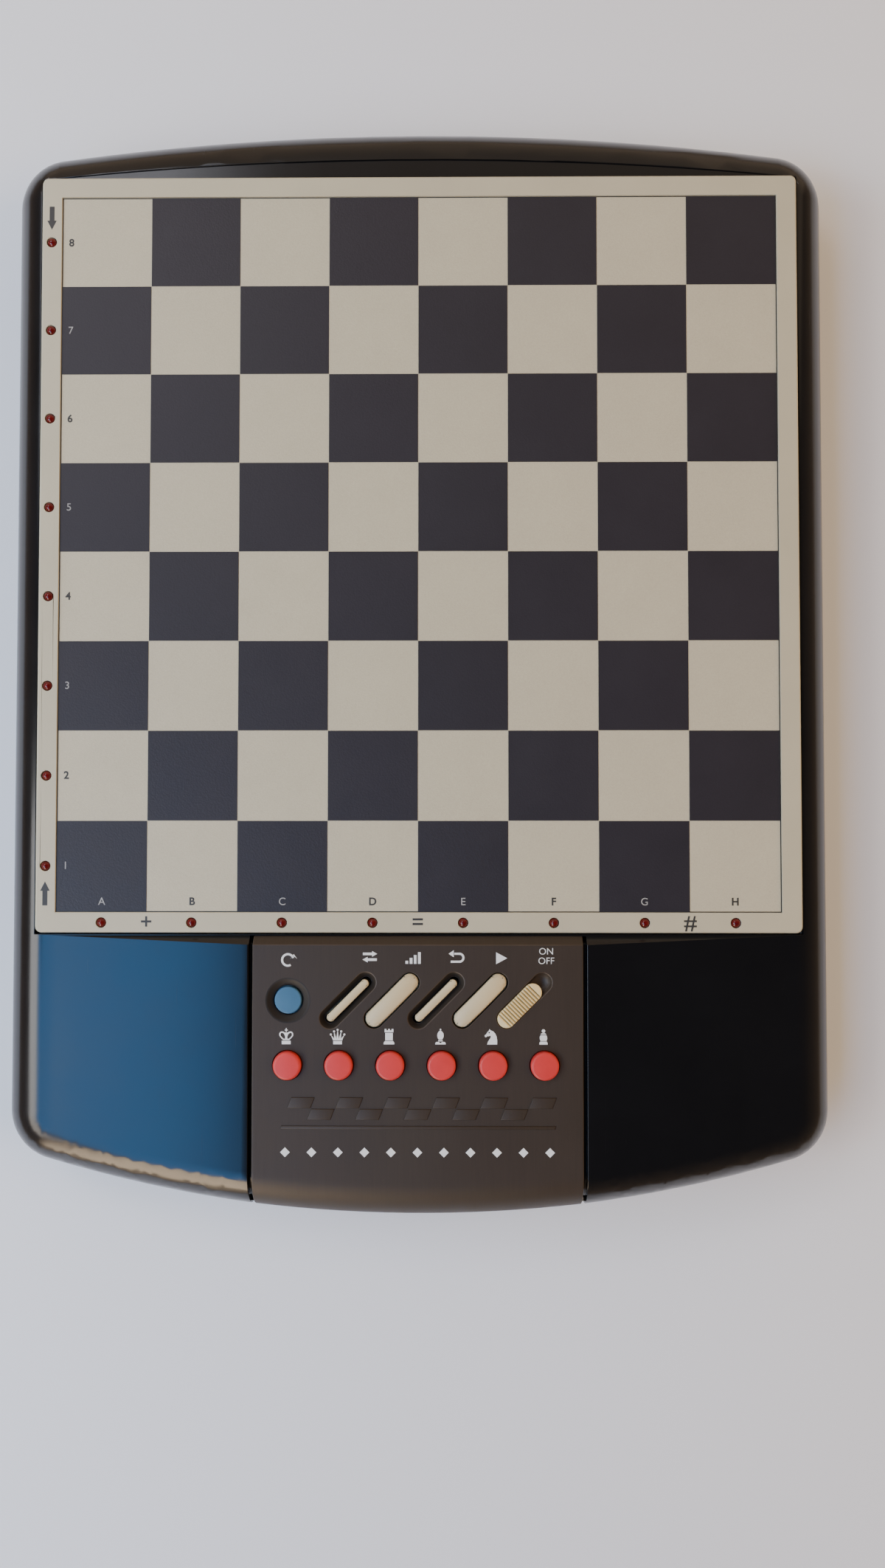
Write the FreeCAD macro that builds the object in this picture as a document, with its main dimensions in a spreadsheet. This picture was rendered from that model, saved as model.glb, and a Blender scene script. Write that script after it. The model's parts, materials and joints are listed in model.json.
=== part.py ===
import FreeCAD, Part
import math
import os
import Sketcher

# Electronic chess computer: a pressure-sensing board with lamps along two edges,
# set into a low pillow-shaped casing that carries a key panel in front of the board.
# X runs across the board, Y from the player towards the far rank, Z up from the table.
# The origin is on the table under the middle of the casing. All lengths are in millimetres.

SQUARES = 8
X_AXIS = FreeCAD.Vector(1, 0, 0)
Y_AXIS = FreeCAD.Vector(0, 1, 0)
Z_AXIS = FreeCAD.Vector(0, 0, 1)
SIDES = (-1, 1)

doc = FreeCAD.newDocument("chess_computer")
sheet = doc.addObject("Spreadsheet::Sheet", "sizes")
nodes = {}


class Size:
    """A length with its value and the sheet expression that it comes from."""

    def __init__(self, value, text):
        self.value = value
        self.text = text

    def __add__(self, other):
        other = as_size(other)
        return Size(self.value + other.value, f"({self.text} + {other.text})")

    def __sub__(self, other):
        other = as_size(other)
        return Size(self.value - other.value, f"({self.text} - {other.text})")

    def __mul__(self, other):
        other = as_size(other)
        return Size(self.value * other.value, f"({self.text} * {other.text})")

    def __truediv__(self, other):
        other = as_size(other)
        return Size(self.value / other.value, f"({self.text} / {other.text})")

    def __radd__(self, other):
        return as_size(other) + self

    def __rsub__(self, other):
        return as_size(other) - self

    def __rmul__(self, other):
        return as_size(other) * self

    def __neg__(self):
        return as_size(0) - self


def as_size(number):
    """Gives a plain number as a Size, and a Size as it is."""
    if isinstance(number, Size):
        return number
    return Size(float(number), f"({float(number)!r})")


def root(number):
    """The square root of a Size."""
    return Size(math.sqrt(number.value), f"sqrt({number.text})")


def dim(alias, value, note):
    """Writes one driving dimension into the sheet and returns it."""
    row = len(sheet.getUsedCells()) // 2 + 1
    sheet.set(f"A{row}", note)
    sheet.set(f"B{row}", str(value))
    sheet.setAlias(f"B{row}", alias)
    return Size(value, f"sizes.{alias}")


# Casing
case_width = dim("case_width", 258.8, "casing across")
side_border = dim("side_border", 10.8, "casing beside the frame")
back_border = dim("back_border", 19.1, "casing behind the frame at the middle")
panel_depth = dim("panel_depth", 87.6, "casing in front of the board at the middle")
back_bow = dim("back_bow", 850.0, "radius of the bowed back edge")
front_bow = dim("front_bow", 435.0, "radius of the bowed front edge")
corner_round = dim("corner_round", 17.0, "corner radius seen from above")
rim_round = dim("rim_round", 12.6, "rounding of the upper rim")
wall = dim("wall", 2.4, "wall of both casing halves")
foot_drop = dim("foot_drop", 2.0, "height of the underside above the table")
parting_level = dim("parting_level", 13.0, "height of the joint between the halves")
parting_step = dim("parting_step", 0.5, "lower half set in from the upper half")
floor_round = dim("floor_round", 4.0, "rounding of the lower edge")
platform_level = dim("platform_level", 30.0, "height of the platform round the board")
deck_rise = dim("deck_rise", 2.6, "key deck above the platform")
strip_run = dim("strip_run", 2.6, "width of the slope from platform to deck")
wing_blend = dim("wing_blend", 100.0, "soft bend where a wing starts and ends")
wing_margin = dim("wing_margin", 3.0, "flat beside a wing's outer bend")
ledge_depth = dim("ledge_depth", 5.7, "flat ledge behind the board recess at the middle")
ledge_sink = dim("ledge_sink", 0.45, "that ledge below the platform")
ledge_bow = dim("ledge_bow", 1150.0, "radius of that ledge's far edge")

# Board
frame_bezel = dim("frame_bezel", 6.6, "cream frame beside the squares")
frame_corner = dim("frame_corner", 2.0, "corner radius of the frame")
frame_height = dim("frame_height", 3.6, "frame thickness")
frame_gap = dim("frame_gap", 0.5, "shadow gap round the frame")
frame_rib = dim("frame_rib", 0.4, "casing rib between frame and slope")
recess_depth = dim("recess_depth", 2.4, "depth of the board recess below the platform")
window_margin = dim("window_margin", 0.3, "frame window beyond the squares")
sheet_margin = dim("sheet_margin", 1.0, "playing sheet beyond the squares")
film = dim("film", 0.25, "membrane film thickness")
spacer = dim("spacer", 0.3, "membrane spacer thickness")
contact_hole = dim("contact_hole", 20.0, "spacer hole under each square")
sheet_thickness = dim("sheet_thickness", 2.2, "playing sheet thickness")
ink = dim("ink", 0.1, "printed square thickness")
ink_inset = dim("ink_inset", 0.05, "printed square inside its field")
lip_gap = dim("lip_gap", 0.05, "air under the frame's lip and round the sheet")

# Lamps
led_inset = dim("led_inset", 3.15, "lamp centres from the frame's outer edge")
led_diameter = dim("led_diameter", 3.0, "lamp body")
led_flange = dim("led_flange", 3.8, "lamp flange")
led_flange_height = dim("led_flange_height", 1.0, "lamp flange height")
led_proud = dim("led_proud", 0.6, "lamp dome above the frame")
led_air = dim("led_air", 0.1, "air round a lamp in its hole")
led_board_width = dim("led_board_width", 9.0, "lamp board width")
led_board_over = dim("led_board_over", 8.0, "lamp board beyond its end lamps")
board_thickness = dim("board_thickness", 1.6, "circuit board thickness")

# Key panel
groove_center = dim("groove_center", 51.4, "panel grooves from the middle")
groove_width = dim("groove_width", 1.2, "width of a panel groove")
lip_level = dim("lip_level", 20.0, "lower end of the panel's front lip")
rail_lap = dim("rail_lap", 4.65, "rails under the panel's edge")
rail_foot = dim("rail_foot", 3.15, "rails under the casing beside the groove")
rail_depth = dim("rail_depth", 2.0, "rail thickness")
fit_gap = dim("fit_gap", 0.15, "air at a seat or a loose fit")
key_gap = dim("key_gap", 0.3, "air round a key in its hole")
key_row = dim("key_row", 19.6, "row of keys in front of the slope")
button_row = dim("button_row", 39.3, "row of buttons in front of the slope")
button_pitch = dim("button_pitch", 15.76, "piece button spacing")
button_shift = dim("button_shift", 0.5, "row of piece buttons left of the middle")
button_diameter = dim("button_diameter", 8.65, "piece button")
button_proud = dim("button_proud", 2.0, "piece button above the deck")
button_edge = dim("button_edge", 0.7, "rounding of a button's top edge")
start_place = dim("start_place", 39.85, "new game button left of the middle")
start_diameter = dim("start_diameter", 8.3, "new game button")
start_sink = dim("start_sink", 0.4, "new game button below the deck")
dish_diameter = dim("dish_diameter", 13.9, "dish round the new game button")
dish_depth = dim("dish_depth", 1.4, "dish depth")
key_pitch = dim("key_pitch", 13.55, "spacing of the slanted keys")
key_middle = dim("key_middle", 5.65, "middle slanted key right of the middle")
key_lean = dim("key_lean", 45.0, "slant of the keys")
key_span = dim("key_span", 15.5, "between the end centres of a wide key or a slot")
blade_span = dim("blade_span", 14.5, "between the end centres of a narrow key")
key_width = dim("key_width", 5.6, "wide key and slider")
key_proud = dim("key_proud", 1.2, "wide key and slider above the deck")
key_crown = dim("key_crown", 40.0, "radius of a wide key's crown along its length")
key_dome = dim("key_dome", 6.0, "radius of a wide key's crown across its width")
blade_width = dim("blade_width", 2.7, "narrow key")
blade_proud = dim("blade_proud", 0.2, "narrow key above the deck")
blade_dome = dim("blade_dome", 2.2, "radius of a narrow key's crown across its width")
trough_width = dim("trough_width", 6.5, "recess round a narrow key")
trough_floor = dim("trough_floor", 3.6, "width at the bottom of that recess")
trough_depth = dim("trough_depth", 1.7, "depth of that recess")
key_travel = dim("key_travel", 1.2, "press of a key")
flange_height = dim("flange_height", 1.2, "flange that holds a key under the panel")
flange_reach = dim("flange_reach", 1.05, "flange beyond its key")
slider_span = dim("slider_span", 11.3, "between the end centres of the slider")
slider_floor = dim("slider_floor", 1.8, "depth of the slider's slot")
slider_pan = dim("slider_pan", 1.6, "floor thickness under the slider")
slider_neck = dim("slider_neck", 2.4, "neck of the slider")
neck_span = dim("neck_span", 3.0, "between the end centres of the neck")
slider_plate = dim("slider_plate", 1.1, "plate that holds the slider under the panel")
rib_pitch = dim("rib_pitch", 0.95, "spacing of the slider's grip ribs")
rib_groove = dim("rib_groove", 0.45, "width and depth of a grip groove")

# Keypad under the panel
dome_rest = dim("dome_rest", 0.85, "rubber dome under a pressed key")
keypad_clear = dim("keypad_clear", 0.5, "keypad board beside the rails")
keypad_margin = dim("keypad_margin", 10.5, "keypad board beyond the key rows")
mat_thickness = dim("mat_thickness", 1.2, "rubber mat thickness")
mat_inset = dim("mat_inset", 1.0, "mat inside the keypad board's edge")
dome_foot = dim("dome_foot", 7.0, "rubber dome at its foot")
dome_head = dim("dome_head", 4.5, "rubber dome at its head")
boss_width = dim("boss_width", 4.0, "bosses under the panel")
boss_inset = dim("boss_inset", 2.5, "keypad screws from the board's edge")
switch_length = dim("switch_length", 14.0, "slide switch body length")
switch_width = dim("switch_width", 6.0, "slide switch body width")
switch_height = dim("switch_height", 1.6, "slide switch body height")
switch_pin = dim("switch_pin", 1.6, "pin that moves the switch")

# Fasteners
small_screw = dim("small_screw", 2.0, "small screw shank")
small_head = dim("small_head", 4.0, "small screw head")
small_head_height = dim("small_head_height", 1.0, "small screw head height")
case_screw = dim("case_screw", 2.9, "casing screw shank")
case_head = dim("case_head", 5.6, "casing screw head")
case_head_height = dim("case_head_height", 2.2, "casing screw head height")
case_screw_run = dim("case_screw_run", 15.0, "casing screw shank length")
screw_air = dim("screw_air", 0.1, "air round a screw shank, on the diameter")
column_width = dim("column_width", 8.0, "screw columns of the casing")
column_inset = dim("column_inset", 27.5, "side screw columns from the casing's side")
column_back = dim("column_back", 48.25, "far screw columns from the back edge")
counterbore = dim("counterbore", 4.0, "depth of a casing screw's hole in the underside")

# Main electronics
main_width = dim("main_width", 120.0, "main board across")
main_depth = dim("main_depth", 80.0, "main board front to back")
main_clear = dim("main_clear", 20.1, "main board behind the near row of lamps")
main_lift = dim("main_lift", 4.6, "main board above the floor")
standoff = dim("standoff", 6.0, "posts under the main board")
standoff_inset = dim("standoff_inset", 8.0, "posts from the main board's edge")
controller_length = dim("controller_length", 52.0, "microcontroller length")
controller_width = dim("controller_width", 14.0, "microcontroller width")
controller_height = dim("controller_height", 4.0, "microcontroller height")
driver_length = dim("driver_length", 19.0, "driver chip length")
driver_width = dim("driver_width", 6.5, "driver chip width")
driver_height = dim("driver_height", 3.5, "driver chip height")
resonator_length = dim("resonator_length", 8.0, "resonator length")
resonator_width = dim("resonator_width", 3.5, "resonator width")
resonator_height = dim("resonator_height", 7.0, "resonator height")
capacitor_diameter = dim("capacitor_diameter", 8.0, "capacitor can")
capacitor_height = dim("capacitor_height", 11.0, "capacitor can height")
connector_height = dim("connector_height", 6.0, "membrane connector height and depth")
tail_width = dim("tail_width", 22.4, "membrane tail width")
buzzer_diameter = dim("buzzer_diameter", 27.0, "buzzer disc")
buzzer_thickness = dim("buzzer_thickness", 0.6, "buzzer disc thickness")
buzzer_seat = dim("buzzer_seat", 2.0, "buzzer above the floor")
ribbon = dim("ribbon", 0.8, "ribbon cable thickness")
ribbon_width = dim("ribbon_width", 14.0, "lamp ribbon width")
keypad_ribbon_width = dim("keypad_ribbon_width", 22.4, "keypad ribbon width")
lead = dim("lead", 1.4, "insulated lead")
cable_lap = dim("cable_lap", 8.0, "cable laid on its board")
lead_pitch = dim("lead_pitch", 4.0, "between two leads")

# Power
cell_diameter = dim("cell_diameter", 14.5, "battery cell")
cell_length = dim("cell_length", 49.5, "battery cell without its nub")
nub_diameter = dim("nub_diameter", 5.5, "cell nub")
nub_height = dim("nub_height", 1.0, "cell nub height")
cell_pitch = dim("cell_pitch", 15.0, "cell spacing")
bay_margin = dim("bay_margin", 93.25, "battery bay's middle in front of the back edge")
bay_wall = dim("bay_wall", 1.6, "battery bay wall")
bay_air = dim("bay_air", 1.75, "air beside the outer cells")
cell_air = dim("cell_air", 0.2, "air under a cell")
contact_width = dim("contact_width", 11.0, "battery contact plate width")
contact_plate = dim("contact_plate", 0.4, "battery contact plate")
contact_boss = dim("contact_boss", 2.5, "battery contact dimple height")
door_ledge = dim("door_ledge", 2.0, "ledge round the battery opening")
door_thickness = dim("door_thickness", 1.15, "battery door plate")
door_gap = dim("door_gap", 0.2, "air round the battery door")
foot_diameter = dim("foot_diameter", 12.0, "rubber foot")
foot_seat = dim("foot_seat", 0.8, "foot let into the underside")
socket_bore = dim("socket_bore", 5.6, "adaptor socket bore")
socket_depth = dim("socket_depth", 9.0, "adaptor socket bore depth")
socket_pin = dim("socket_pin", 2.0, "adaptor socket pin")
socket_body = dim("socket_body", 8.6, "adaptor socket body")
socket_nose = dim("socket_nose", 7.2, "adaptor socket nose in the back wall")
socket_margin = dim("socket_margin", 42.5, "adaptor socket from the casing's right side")

doc.recompute()

# Levels above the table and places that several pieces share
deck_level = platform_level + deck_rise
recess_level = platform_level - recess_depth
ceiling_level = recess_level - wall
panel_under = deck_level - wall
frame_top = recess_level + frame_height
floor_top = foot_drop + wall
frame_side = case_width - side_border * 2
field = frame_side - frame_bezel * 2
square = field / SQUARES
case_depth = back_border + frame_side + frame_gap + frame_rib + panel_depth
board_center = case_depth / 2 - back_border - frame_side / 2
sheet_side = field + sheet_margin * 2
window_side = field + window_margin * 2
film_top = recess_level + film * 2 + spacer
sheet_top = film_top + sheet_thickness
lip_level_frame = sheet_top + ink + lip_gap
recess_side = frame_side + frame_gap * 2
strip_low = board_center - recess_side / 2 - frame_rib
panel_half = groove_center - groove_width / 2
channel_half = groove_center + groove_width / 2
rail_inner = panel_half - rail_lap
rail_outer = channel_half + rail_foot
keypad_width = (rail_inner - keypad_clear) * 2
wing_end = case_width / 2 - rim_round - wing_margin
key_line = strip_low - key_row
button_line = strip_low - button_row
flange_top = panel_under - fit_gap
flange_base = flange_top - flange_height
mat_top = flange_base - key_travel - dome_rest
keypad_top = mat_top - mat_thickness
keypad_drop = panel_under - keypad_top
keypad_base = keypad_top - board_thickness
dome_top = flange_base - fit_gap / 2
led_line = frame_side / 2 - led_inset
led_board_run = square * (SQUARES - 1) + led_board_over * 2
led_base = ceiling_level - led_flange_height - fit_gap
slot_width = key_width + key_gap * 2
trench_width = (slot_width * slot_width / 4 + slider_floor * slider_floor) / slider_floor
trench_level = deck_level - slider_floor + trench_width / 2
main_middle = board_center - led_line + main_clear + main_depth / 2
bay_middle = case_depth / 2 - bay_margin
socket_place = case_width / 2 - socket_margin
main_base = floor_top + main_lift
main_top = main_base + board_thickness
bay_length = cell_length + nub_height + contact_boss * 2 + contact_plate * 2
bay_breadth = cell_pitch * 3 + cell_diameter + bay_air * 2
cell_axis = floor_top + cell_air + cell_diameter / 2
door_top = foot_drop + door_thickness
bay_top = cell_axis + cell_diameter / 2 + bay_wall


def bind(obj, prop, length):
    """Ties a property to the sheet."""
    obj.setExpression(prop, as_size(length).text)


def move(obj, at, turn=None, axis=Z_AXIS):
    """Places an object, turned about an axis where a turn is given."""
    if turn is not None:
        rotation = FreeCAD.Rotation(axis, as_size(turn).value)
        obj.Placement = FreeCAD.Placement(FreeCAD.Vector(), rotation)
        bind(obj, "Placement.Rotation.Angle", turn)
    for name, length in zip("xyz", at):
        bind(obj, f"Placement.Base.{name}", length)
    return obj


def box(name, size, at):
    """A block that stands centred over a point."""
    obj = doc.addObject("Part::Box", name)
    for prop, length in zip(("Length", "Width", "Height"), size):
        bind(obj, prop, length)
    return move(obj, (at[0] - as_size(size[0]) / 2, at[1] - as_size(size[1]) / 2, at[2]))


def rod(name, diameter, length, at, along="z"):
    """A round bar from a point along one axis."""
    obj = doc.addObject("Part::Cylinder", name)
    bind(obj, "Radius", as_size(diameter) / 2)
    bind(obj, "Height", length)
    if along == "x":
        return move(obj, at, 90, Y_AXIS)
    if along == "y":
        return move(obj, at, -90, X_AXIS)
    return move(obj, at)


def cone(name, low, high, height, at):
    """A round taper between two diameters."""
    obj = doc.addObject("Part::Cone", name)
    bind(obj, "Radius1", as_size(low) / 2)
    bind(obj, "Radius2", as_size(high) / 2)
    bind(obj, "Height", height)
    return move(obj, at)


def fuse(name, *pieces):
    """One solid made of several."""
    obj = doc.addObject("Part::MultiFuse", name)
    obj.Shapes = list(pieces)
    return obj


def group(name, pieces):
    """Separate like solids kept as one piece."""
    obj = doc.addObject("Part::Compound", name)
    obj.Links = list(pieces)
    return obj


def boolean(kind, name, base, tool):
    """A cut or a common part of two objects."""
    obj = doc.addObject(kind, name)
    obj.Base = base
    obj.Tool = tool
    return obj


def cut(name, base, *tools):
    """A solid less the space of the tools."""
    tool = tools[0]
    if len(tools) > 1:
        tool = fuse(f"{name}_tools", *tools)
    return boolean("Part::Cut", name, base, tool)


def common(name, base, tool):
    """The space that two solids share."""
    return boolean("Part::Common", name, base, tool)


def capsule(name, span, width, height, z):
    """A bar with round ends along local X, standing on a level."""
    half = as_size(span) / 2
    middle = box(f"{name}_middle", (span, width, height), (as_size(0), as_size(0), z))
    ends = [
        rod(f"{name}_end{i}", width, height, (half * side, as_size(0), z))
        for i, side in enumerate(SIDES)
    ]
    return fuse(name, middle, *ends)


def tapered(name, span, low, high, height, z):
    """A bar with round ends along local X that widens upwards."""
    half = as_size(span) / 2
    middle = doc.addObject("Part::Wedge", f"{name}_middle")
    for end, reach in (("Xmin", -half), ("X2min", -half), ("Xmax", half), ("X2max", half),
                       ("Zmin", -low / 2), ("Zmax", low / 2), ("Z2min", -high / 2), ("Z2max", high / 2),
                       ("Ymin", as_size(0)), ("Ymax", height)):
        bind(middle, end, reach)
    move(middle, (as_size(0), as_size(0), z), 90, X_AXIS)
    ends = [
        cone(f"{name}_end{i}", low, high, height, (half * side, as_size(0), z))
        for i, side in enumerate(SIDES)
    ]
    return fuse(name, middle, *ends)


def trench(name, span, width):
    """A round bar with ball ends along local X, as the slider's slot is hollowed."""
    half = as_size(span) / 2
    balls = []
    for i, side in enumerate(SIDES):
        ball = doc.addObject("Part::Sphere", f"{name}_ball{i}")
        bind(ball, "Radius", width / 2)
        balls.append(move(ball, (half * side, as_size(0), trench_level)))
    return fuse(name, rod(f"{name}_bar", width, span, (-half, as_size(0), trench_level), "x"), *balls)


def lean(obj, x, y):
    """Turns a slanted key's solid to the key slant and puts it in its place."""
    return move(obj, (x, y, as_size(0)), key_lean)


def rounded(name, base, radius, chosen):
    """Rounds the chosen edges of a solid."""
    doc.recompute()
    picked = [i + 1 for i, edge in enumerate(base.Shape.Edges) if chosen(edge)]
    obj = doc.addObject("Part::Fillet", name)
    obj.Base = base
    obj.Edges = [(i, radius.value, radius.value) for i in picked]
    return obj


def screw(name, head, head_height, shank, run, at):
    """A screw put in from below, with the top of its head on a level."""
    x, y, z = at
    top = rod(f"{name}_head", head, head_height, (x, y, z - head_height))
    return fuse(name, top, rod(f"{name}_shank", shank, run, (x, y, z)))


def small_screws(name, places, z, run):
    """A set of small screws put in from below."""
    return group(name, [
        screw(f"{name}{i}", small_head, small_head_height, small_screw, run, (x, y, z))
        for i, (x, y) in enumerate(places)
    ])


def holes(name, places, diameter, z, height):
    """A set of upright round cutters."""
    return group(name, [
        rod(f"{name}{i}", diameter, height, (x, y, z)) for i, (x, y) in enumerate(places)
    ])


# Sketch helpers


def new_body(name):
    """An empty feature body."""
    return doc.addObject("PartDesign::Body", name)


def new_sketch(body, name, role, lift=None):
    """A sketch on one of a body's own planes, lifted off it where asked."""
    sketch = body.newObject("Sketcher::SketchObject", name)
    plane = next(f for f in body.Origin.OriginFeatures if f.Role == role)
    sketch.AttachmentSupport = [(plane, "")]
    sketch.MapMode = "FlatFace"
    if lift is not None:
        bind(sketch, "AttachmentOffset.Base.z", lift)
    return sketch


def hold(sketch, kind, first, length):
    """Adds a dimension that follows the sheet."""
    index = sketch.addConstraint(Sketcher.Constraint(kind, *first, length.value))
    bind(sketch, f"Constraints[{index}]", length)


def bend_arc(begin, finish, radius, way):
    """An arc between two points, bulging right of the walk where way is 1 and left where it is -1."""
    chord = finish - begin
    left = FreeCAD.Vector(-chord.y, chord.x, 0).normalize()
    height = math.sqrt(radius.value ** 2 - (chord.Length / 2) ** 2)
    center = begin + chord / 2 + left * (height * way)
    start, stop = [math.atan2(p.y - center.y, p.x - center.x) for p in (begin, finish)[::way]]
    return Part.ArcOfCircle(Part.Circle(center, Z_AXIS, radius.value), start, stop)


def polygon(sketch, points, bends={}):
    """A closed outline with every corner held from the origin; a bend is an arc to the next corner."""
    count = len(points)
    corners = [FreeCAD.Vector(u.value, v.value, 0) for u, v in points]
    ends = [(1, 2)] * count
    for i in range(count):
        begin, finish = corners[i], corners[(i + 1) % count]
        if i in bends:
            radius, way = bends[i]
            sketch.addGeometry(bend_arc(begin, finish, radius, way))
            ends[i] = (1, 2)[::way]
        else:
            sketch.addGeometry(Part.LineSegment(begin, finish))
    for i in range(count):
        after = (i + 1) % count
        sketch.addConstraint(Sketcher.Constraint("Coincident", i, ends[i][1], after, ends[after][0]))
    for i, (u, v) in enumerate(points):
        hold(sketch, "DistanceX", (-1, 1, i, ends[i][0]), u)
        hold(sketch, "DistanceY", (-1, 1, i, ends[i][0]), v)
    for i, (radius, way) in bends.items():
        hold(sketch, "Radius", (i,), radius)


def plan_outline(sketch, inset):
    """The casing seen from above: bowed front and back, straight sides, round corners."""
    half = case_width / 2 - inset
    end = case_depth / 2 - inset
    bow_front = front_bow - inset
    bow_back = back_bow - inset
    corner = corner_round - inset
    front_center = bow_front - end
    back_center = end - bow_back
    in_x = half.value - corner.value
    in_front = front_center.value - math.sqrt((bow_front.value - corner.value) ** 2 - in_x ** 2)
    in_back = back_center.value + math.sqrt((bow_back.value - corner.value) ** 2 - in_x ** 2)
    front_turn = math.atan2(in_front - front_center.value, in_x)
    back_turn = math.atan2(in_back - back_center.value, in_x)

    def arc(x, y, radius, start, stop):
        circle = Part.Circle(FreeCAD.Vector(x, y, 0), Z_AXIS, radius.value)
        return Part.ArcOfCircle(circle, start, stop)

    def side(x, start, stop):
        return Part.LineSegment(FreeCAD.Vector(x, start, 0), FreeCAD.Vector(x, stop, 0))

    sketch.addGeometry([
        arc(0, front_center.value, bow_front, -math.pi - front_turn, front_turn),
        arc(in_x, in_front, corner, front_turn, 0),
        side(half.value, in_front, in_back),
        arc(in_x, in_back, corner, 0, back_turn),
        arc(0, back_center.value, bow_back, back_turn, math.pi - back_turn),
        arc(-in_x, in_back, corner, math.pi - back_turn, math.pi),
        side(-half.value, in_back, in_front),
        arc(-in_x, in_front, corner, math.pi, math.pi - front_turn),
    ])
    count = sketch.GeometryCount
    for i in range(count):
        sketch.addConstraint(Sketcher.Constraint("Tangent", i, 2, (i + 1) % count, 1))
    for i in (3, 5, 7):
        sketch.addConstraint(Sketcher.Constraint("Equal", 1, i))
    for i in (0, 4):
        sketch.addConstraint(Sketcher.Constraint("PointOnObject", i, 3, -2))
    for i in (2, 6):
        sketch.addConstraint(Sketcher.Constraint("Vertical", i))
    hold(sketch, "Radius", (0,), bow_front)
    hold(sketch, "Radius", (1,), corner)
    hold(sketch, "Radius", (4,), bow_back)
    hold(sketch, "DistanceX", (-1, 1, 2, 1), half)
    hold(sketch, "DistanceX", (-1, 1, 6, 1), -half)
    hold(sketch, "DistanceY", (-1, 1, 0, 3), front_center)
    hold(sketch, "DistanceY", (-1, 1, 4, 3), back_center)


def pad(body, name, sketch, length):
    """Raises a sketch."""
    feature = body.newObject("PartDesign::Pad", name)
    feature.Profile = sketch
    bind(feature, "Length", length)
    return feature


def pocket_through(body, name, sketch):
    """Cuts a sketch right through, both ways."""
    feature = body.newObject("PartDesign::Pocket", name)
    feature.Profile = sketch
    feature.Type = "ThroughAll"
    feature.SideType = "Symmetric"
    return feature


def body_fillet(body, name, base, radius, chosen):
    """Rounds the chosen edges of a body."""
    doc.recompute()
    picked = [f"Edge{i + 1}" for i, edge in enumerate(base.Shape.Edges) if chosen(edge)]
    feature = body.newObject("PartDesign::Fillet", name)
    feature.Base = (base, picked)
    bind(feature, "Radius", radius)
    return feature


def edge_middle(edge):
    """A point half way along an edge, with the edge's direction there."""
    half = (edge.FirstParameter + edge.LastParameter) / 2
    return edge.valueAt(half), edge.tangentAt(half)


# Casing halves


def pillow(name, inset):
    """The upper half's outer form, or the same form drawn in all over by an inset."""
    inset = as_size(inset)
    body = new_body(name)
    platform = platform_level - inset
    deck = deck_level - inset
    above = deck_level + rim_round
    plan = new_sketch(body, f"{name}_plan", "XY_Plane", parting_level)
    plan_outline(plan, inset)
    pad(body, f"{name}_block", plan, above - parting_level)

    roof = new_sketch(body, f"{name}_roof", "XZ_Plane")
    fall = deck_rise / (wing_end - channel_half)
    stretch = root(1 + fall * fall)
    reach = wing_blend * (stretch - 1) / fall
    outer = wing_end + reach
    foot = (wing_end - reach / stretch, platform + reach * fall / stretch)
    brow = (channel_half + reach / stretch, deck - reach * fall / stretch)
    crest = channel_half - reach
    polygon(roof, [
        (-case_width, platform),
        (-outer, platform),
        (-foot[0], foot[1]),
        (-brow[0], brow[1]),
        (-crest, deck),
        (crest, deck),
        brow,
        foot,
        (outer, platform),
        (case_width, platform),
        (case_width, above + rim_round),
        (-case_width, above + rim_round),
    ], {1: (wing_blend, 1), 3: (wing_blend, -1), 5: (wing_blend, -1), 7: (wing_blend, 1)})
    pocket_through(body, f"{name}_roofed", roof)

    slope = new_sketch(body, f"{name}_slope", "YZ_Plane")
    climb = above + rim_round - platform
    polygon(slope, [
        (strip_low, platform),
        (case_depth, platform),
        (case_depth, above + rim_round),
        (strip_low - climb * strip_run / deck_rise, above + rim_round),
    ])
    sloped = pocket_through(body, f"{name}_sloped", slope)

    def is_rim(edge):
        point, along = edge_middle(edge)
        if point.z < platform.value - fit_gap.value or abs(along.z) > 0.5:
            return False
        foot = Part.Vertex(point.x, point.y, parting_level.value)
        return plan.Shape.distToShape(foot)[0] < 0.001

    body_fillet(body, f"{name}_rim", sloped, rim_round - inset, is_rim)
    return body


def screw_places():
    """Middles of the six casing screws, two by two from the back."""
    pairs = (
        (case_width / 2 - column_inset, case_depth / 2 - column_back),
        (case_width / 2 - column_inset, main_middle - main_depth / 2),
        (rail_outer + column_width * 2, button_line - column_width * 3),
    )
    return [(x * side, y) for x, y in pairs for side in SIDES]


def lamp_places():
    """Middles of the lamps along the left edge and along the near edge."""
    steps = [square * (i - (SQUARES - 1) / 2) for i in range(SQUARES)]
    left = [(-led_line, board_center + step) for step in steps]
    near = [(step, board_center - led_line) for step in steps]
    return left, near


def frame_screw_places():
    """Middles of the eight frame screws, two on each side of the frame."""
    out = led_line
    along = square * 2
    return [
        place
        for side in SIDES
        for place in ((out * side, board_center + along), (out * side, board_center - along),
                      (along, board_center + out * side), (-along, board_center + out * side))
    ]


def led_screw_places():
    """Middles of the lamp board screws: left board, then near board."""
    shift = led_board_width / 4
    left = [(-led_line + shift, board_center + square * i) for i in (-3, 0, 3)]
    near = [(square * i, board_center - led_line + shift) for i in (-3, 0, 3)]
    return left, near


def panel_screw_places():
    """Middles of the six screws that hold the panel to its rails."""
    x = (rail_inner + panel_half) / 2
    rows = (key_line + keypad_margin, (key_line + button_line) / 2, button_line - keypad_margin)
    return [(x * side, y) for y in rows for side in SIDES]


def keypad_frame():
    """The keypad board's middle and its front-to-back size."""
    back = key_line + keypad_margin
    front = button_line - keypad_margin
    return (back + front) / 2, back - front


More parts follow.
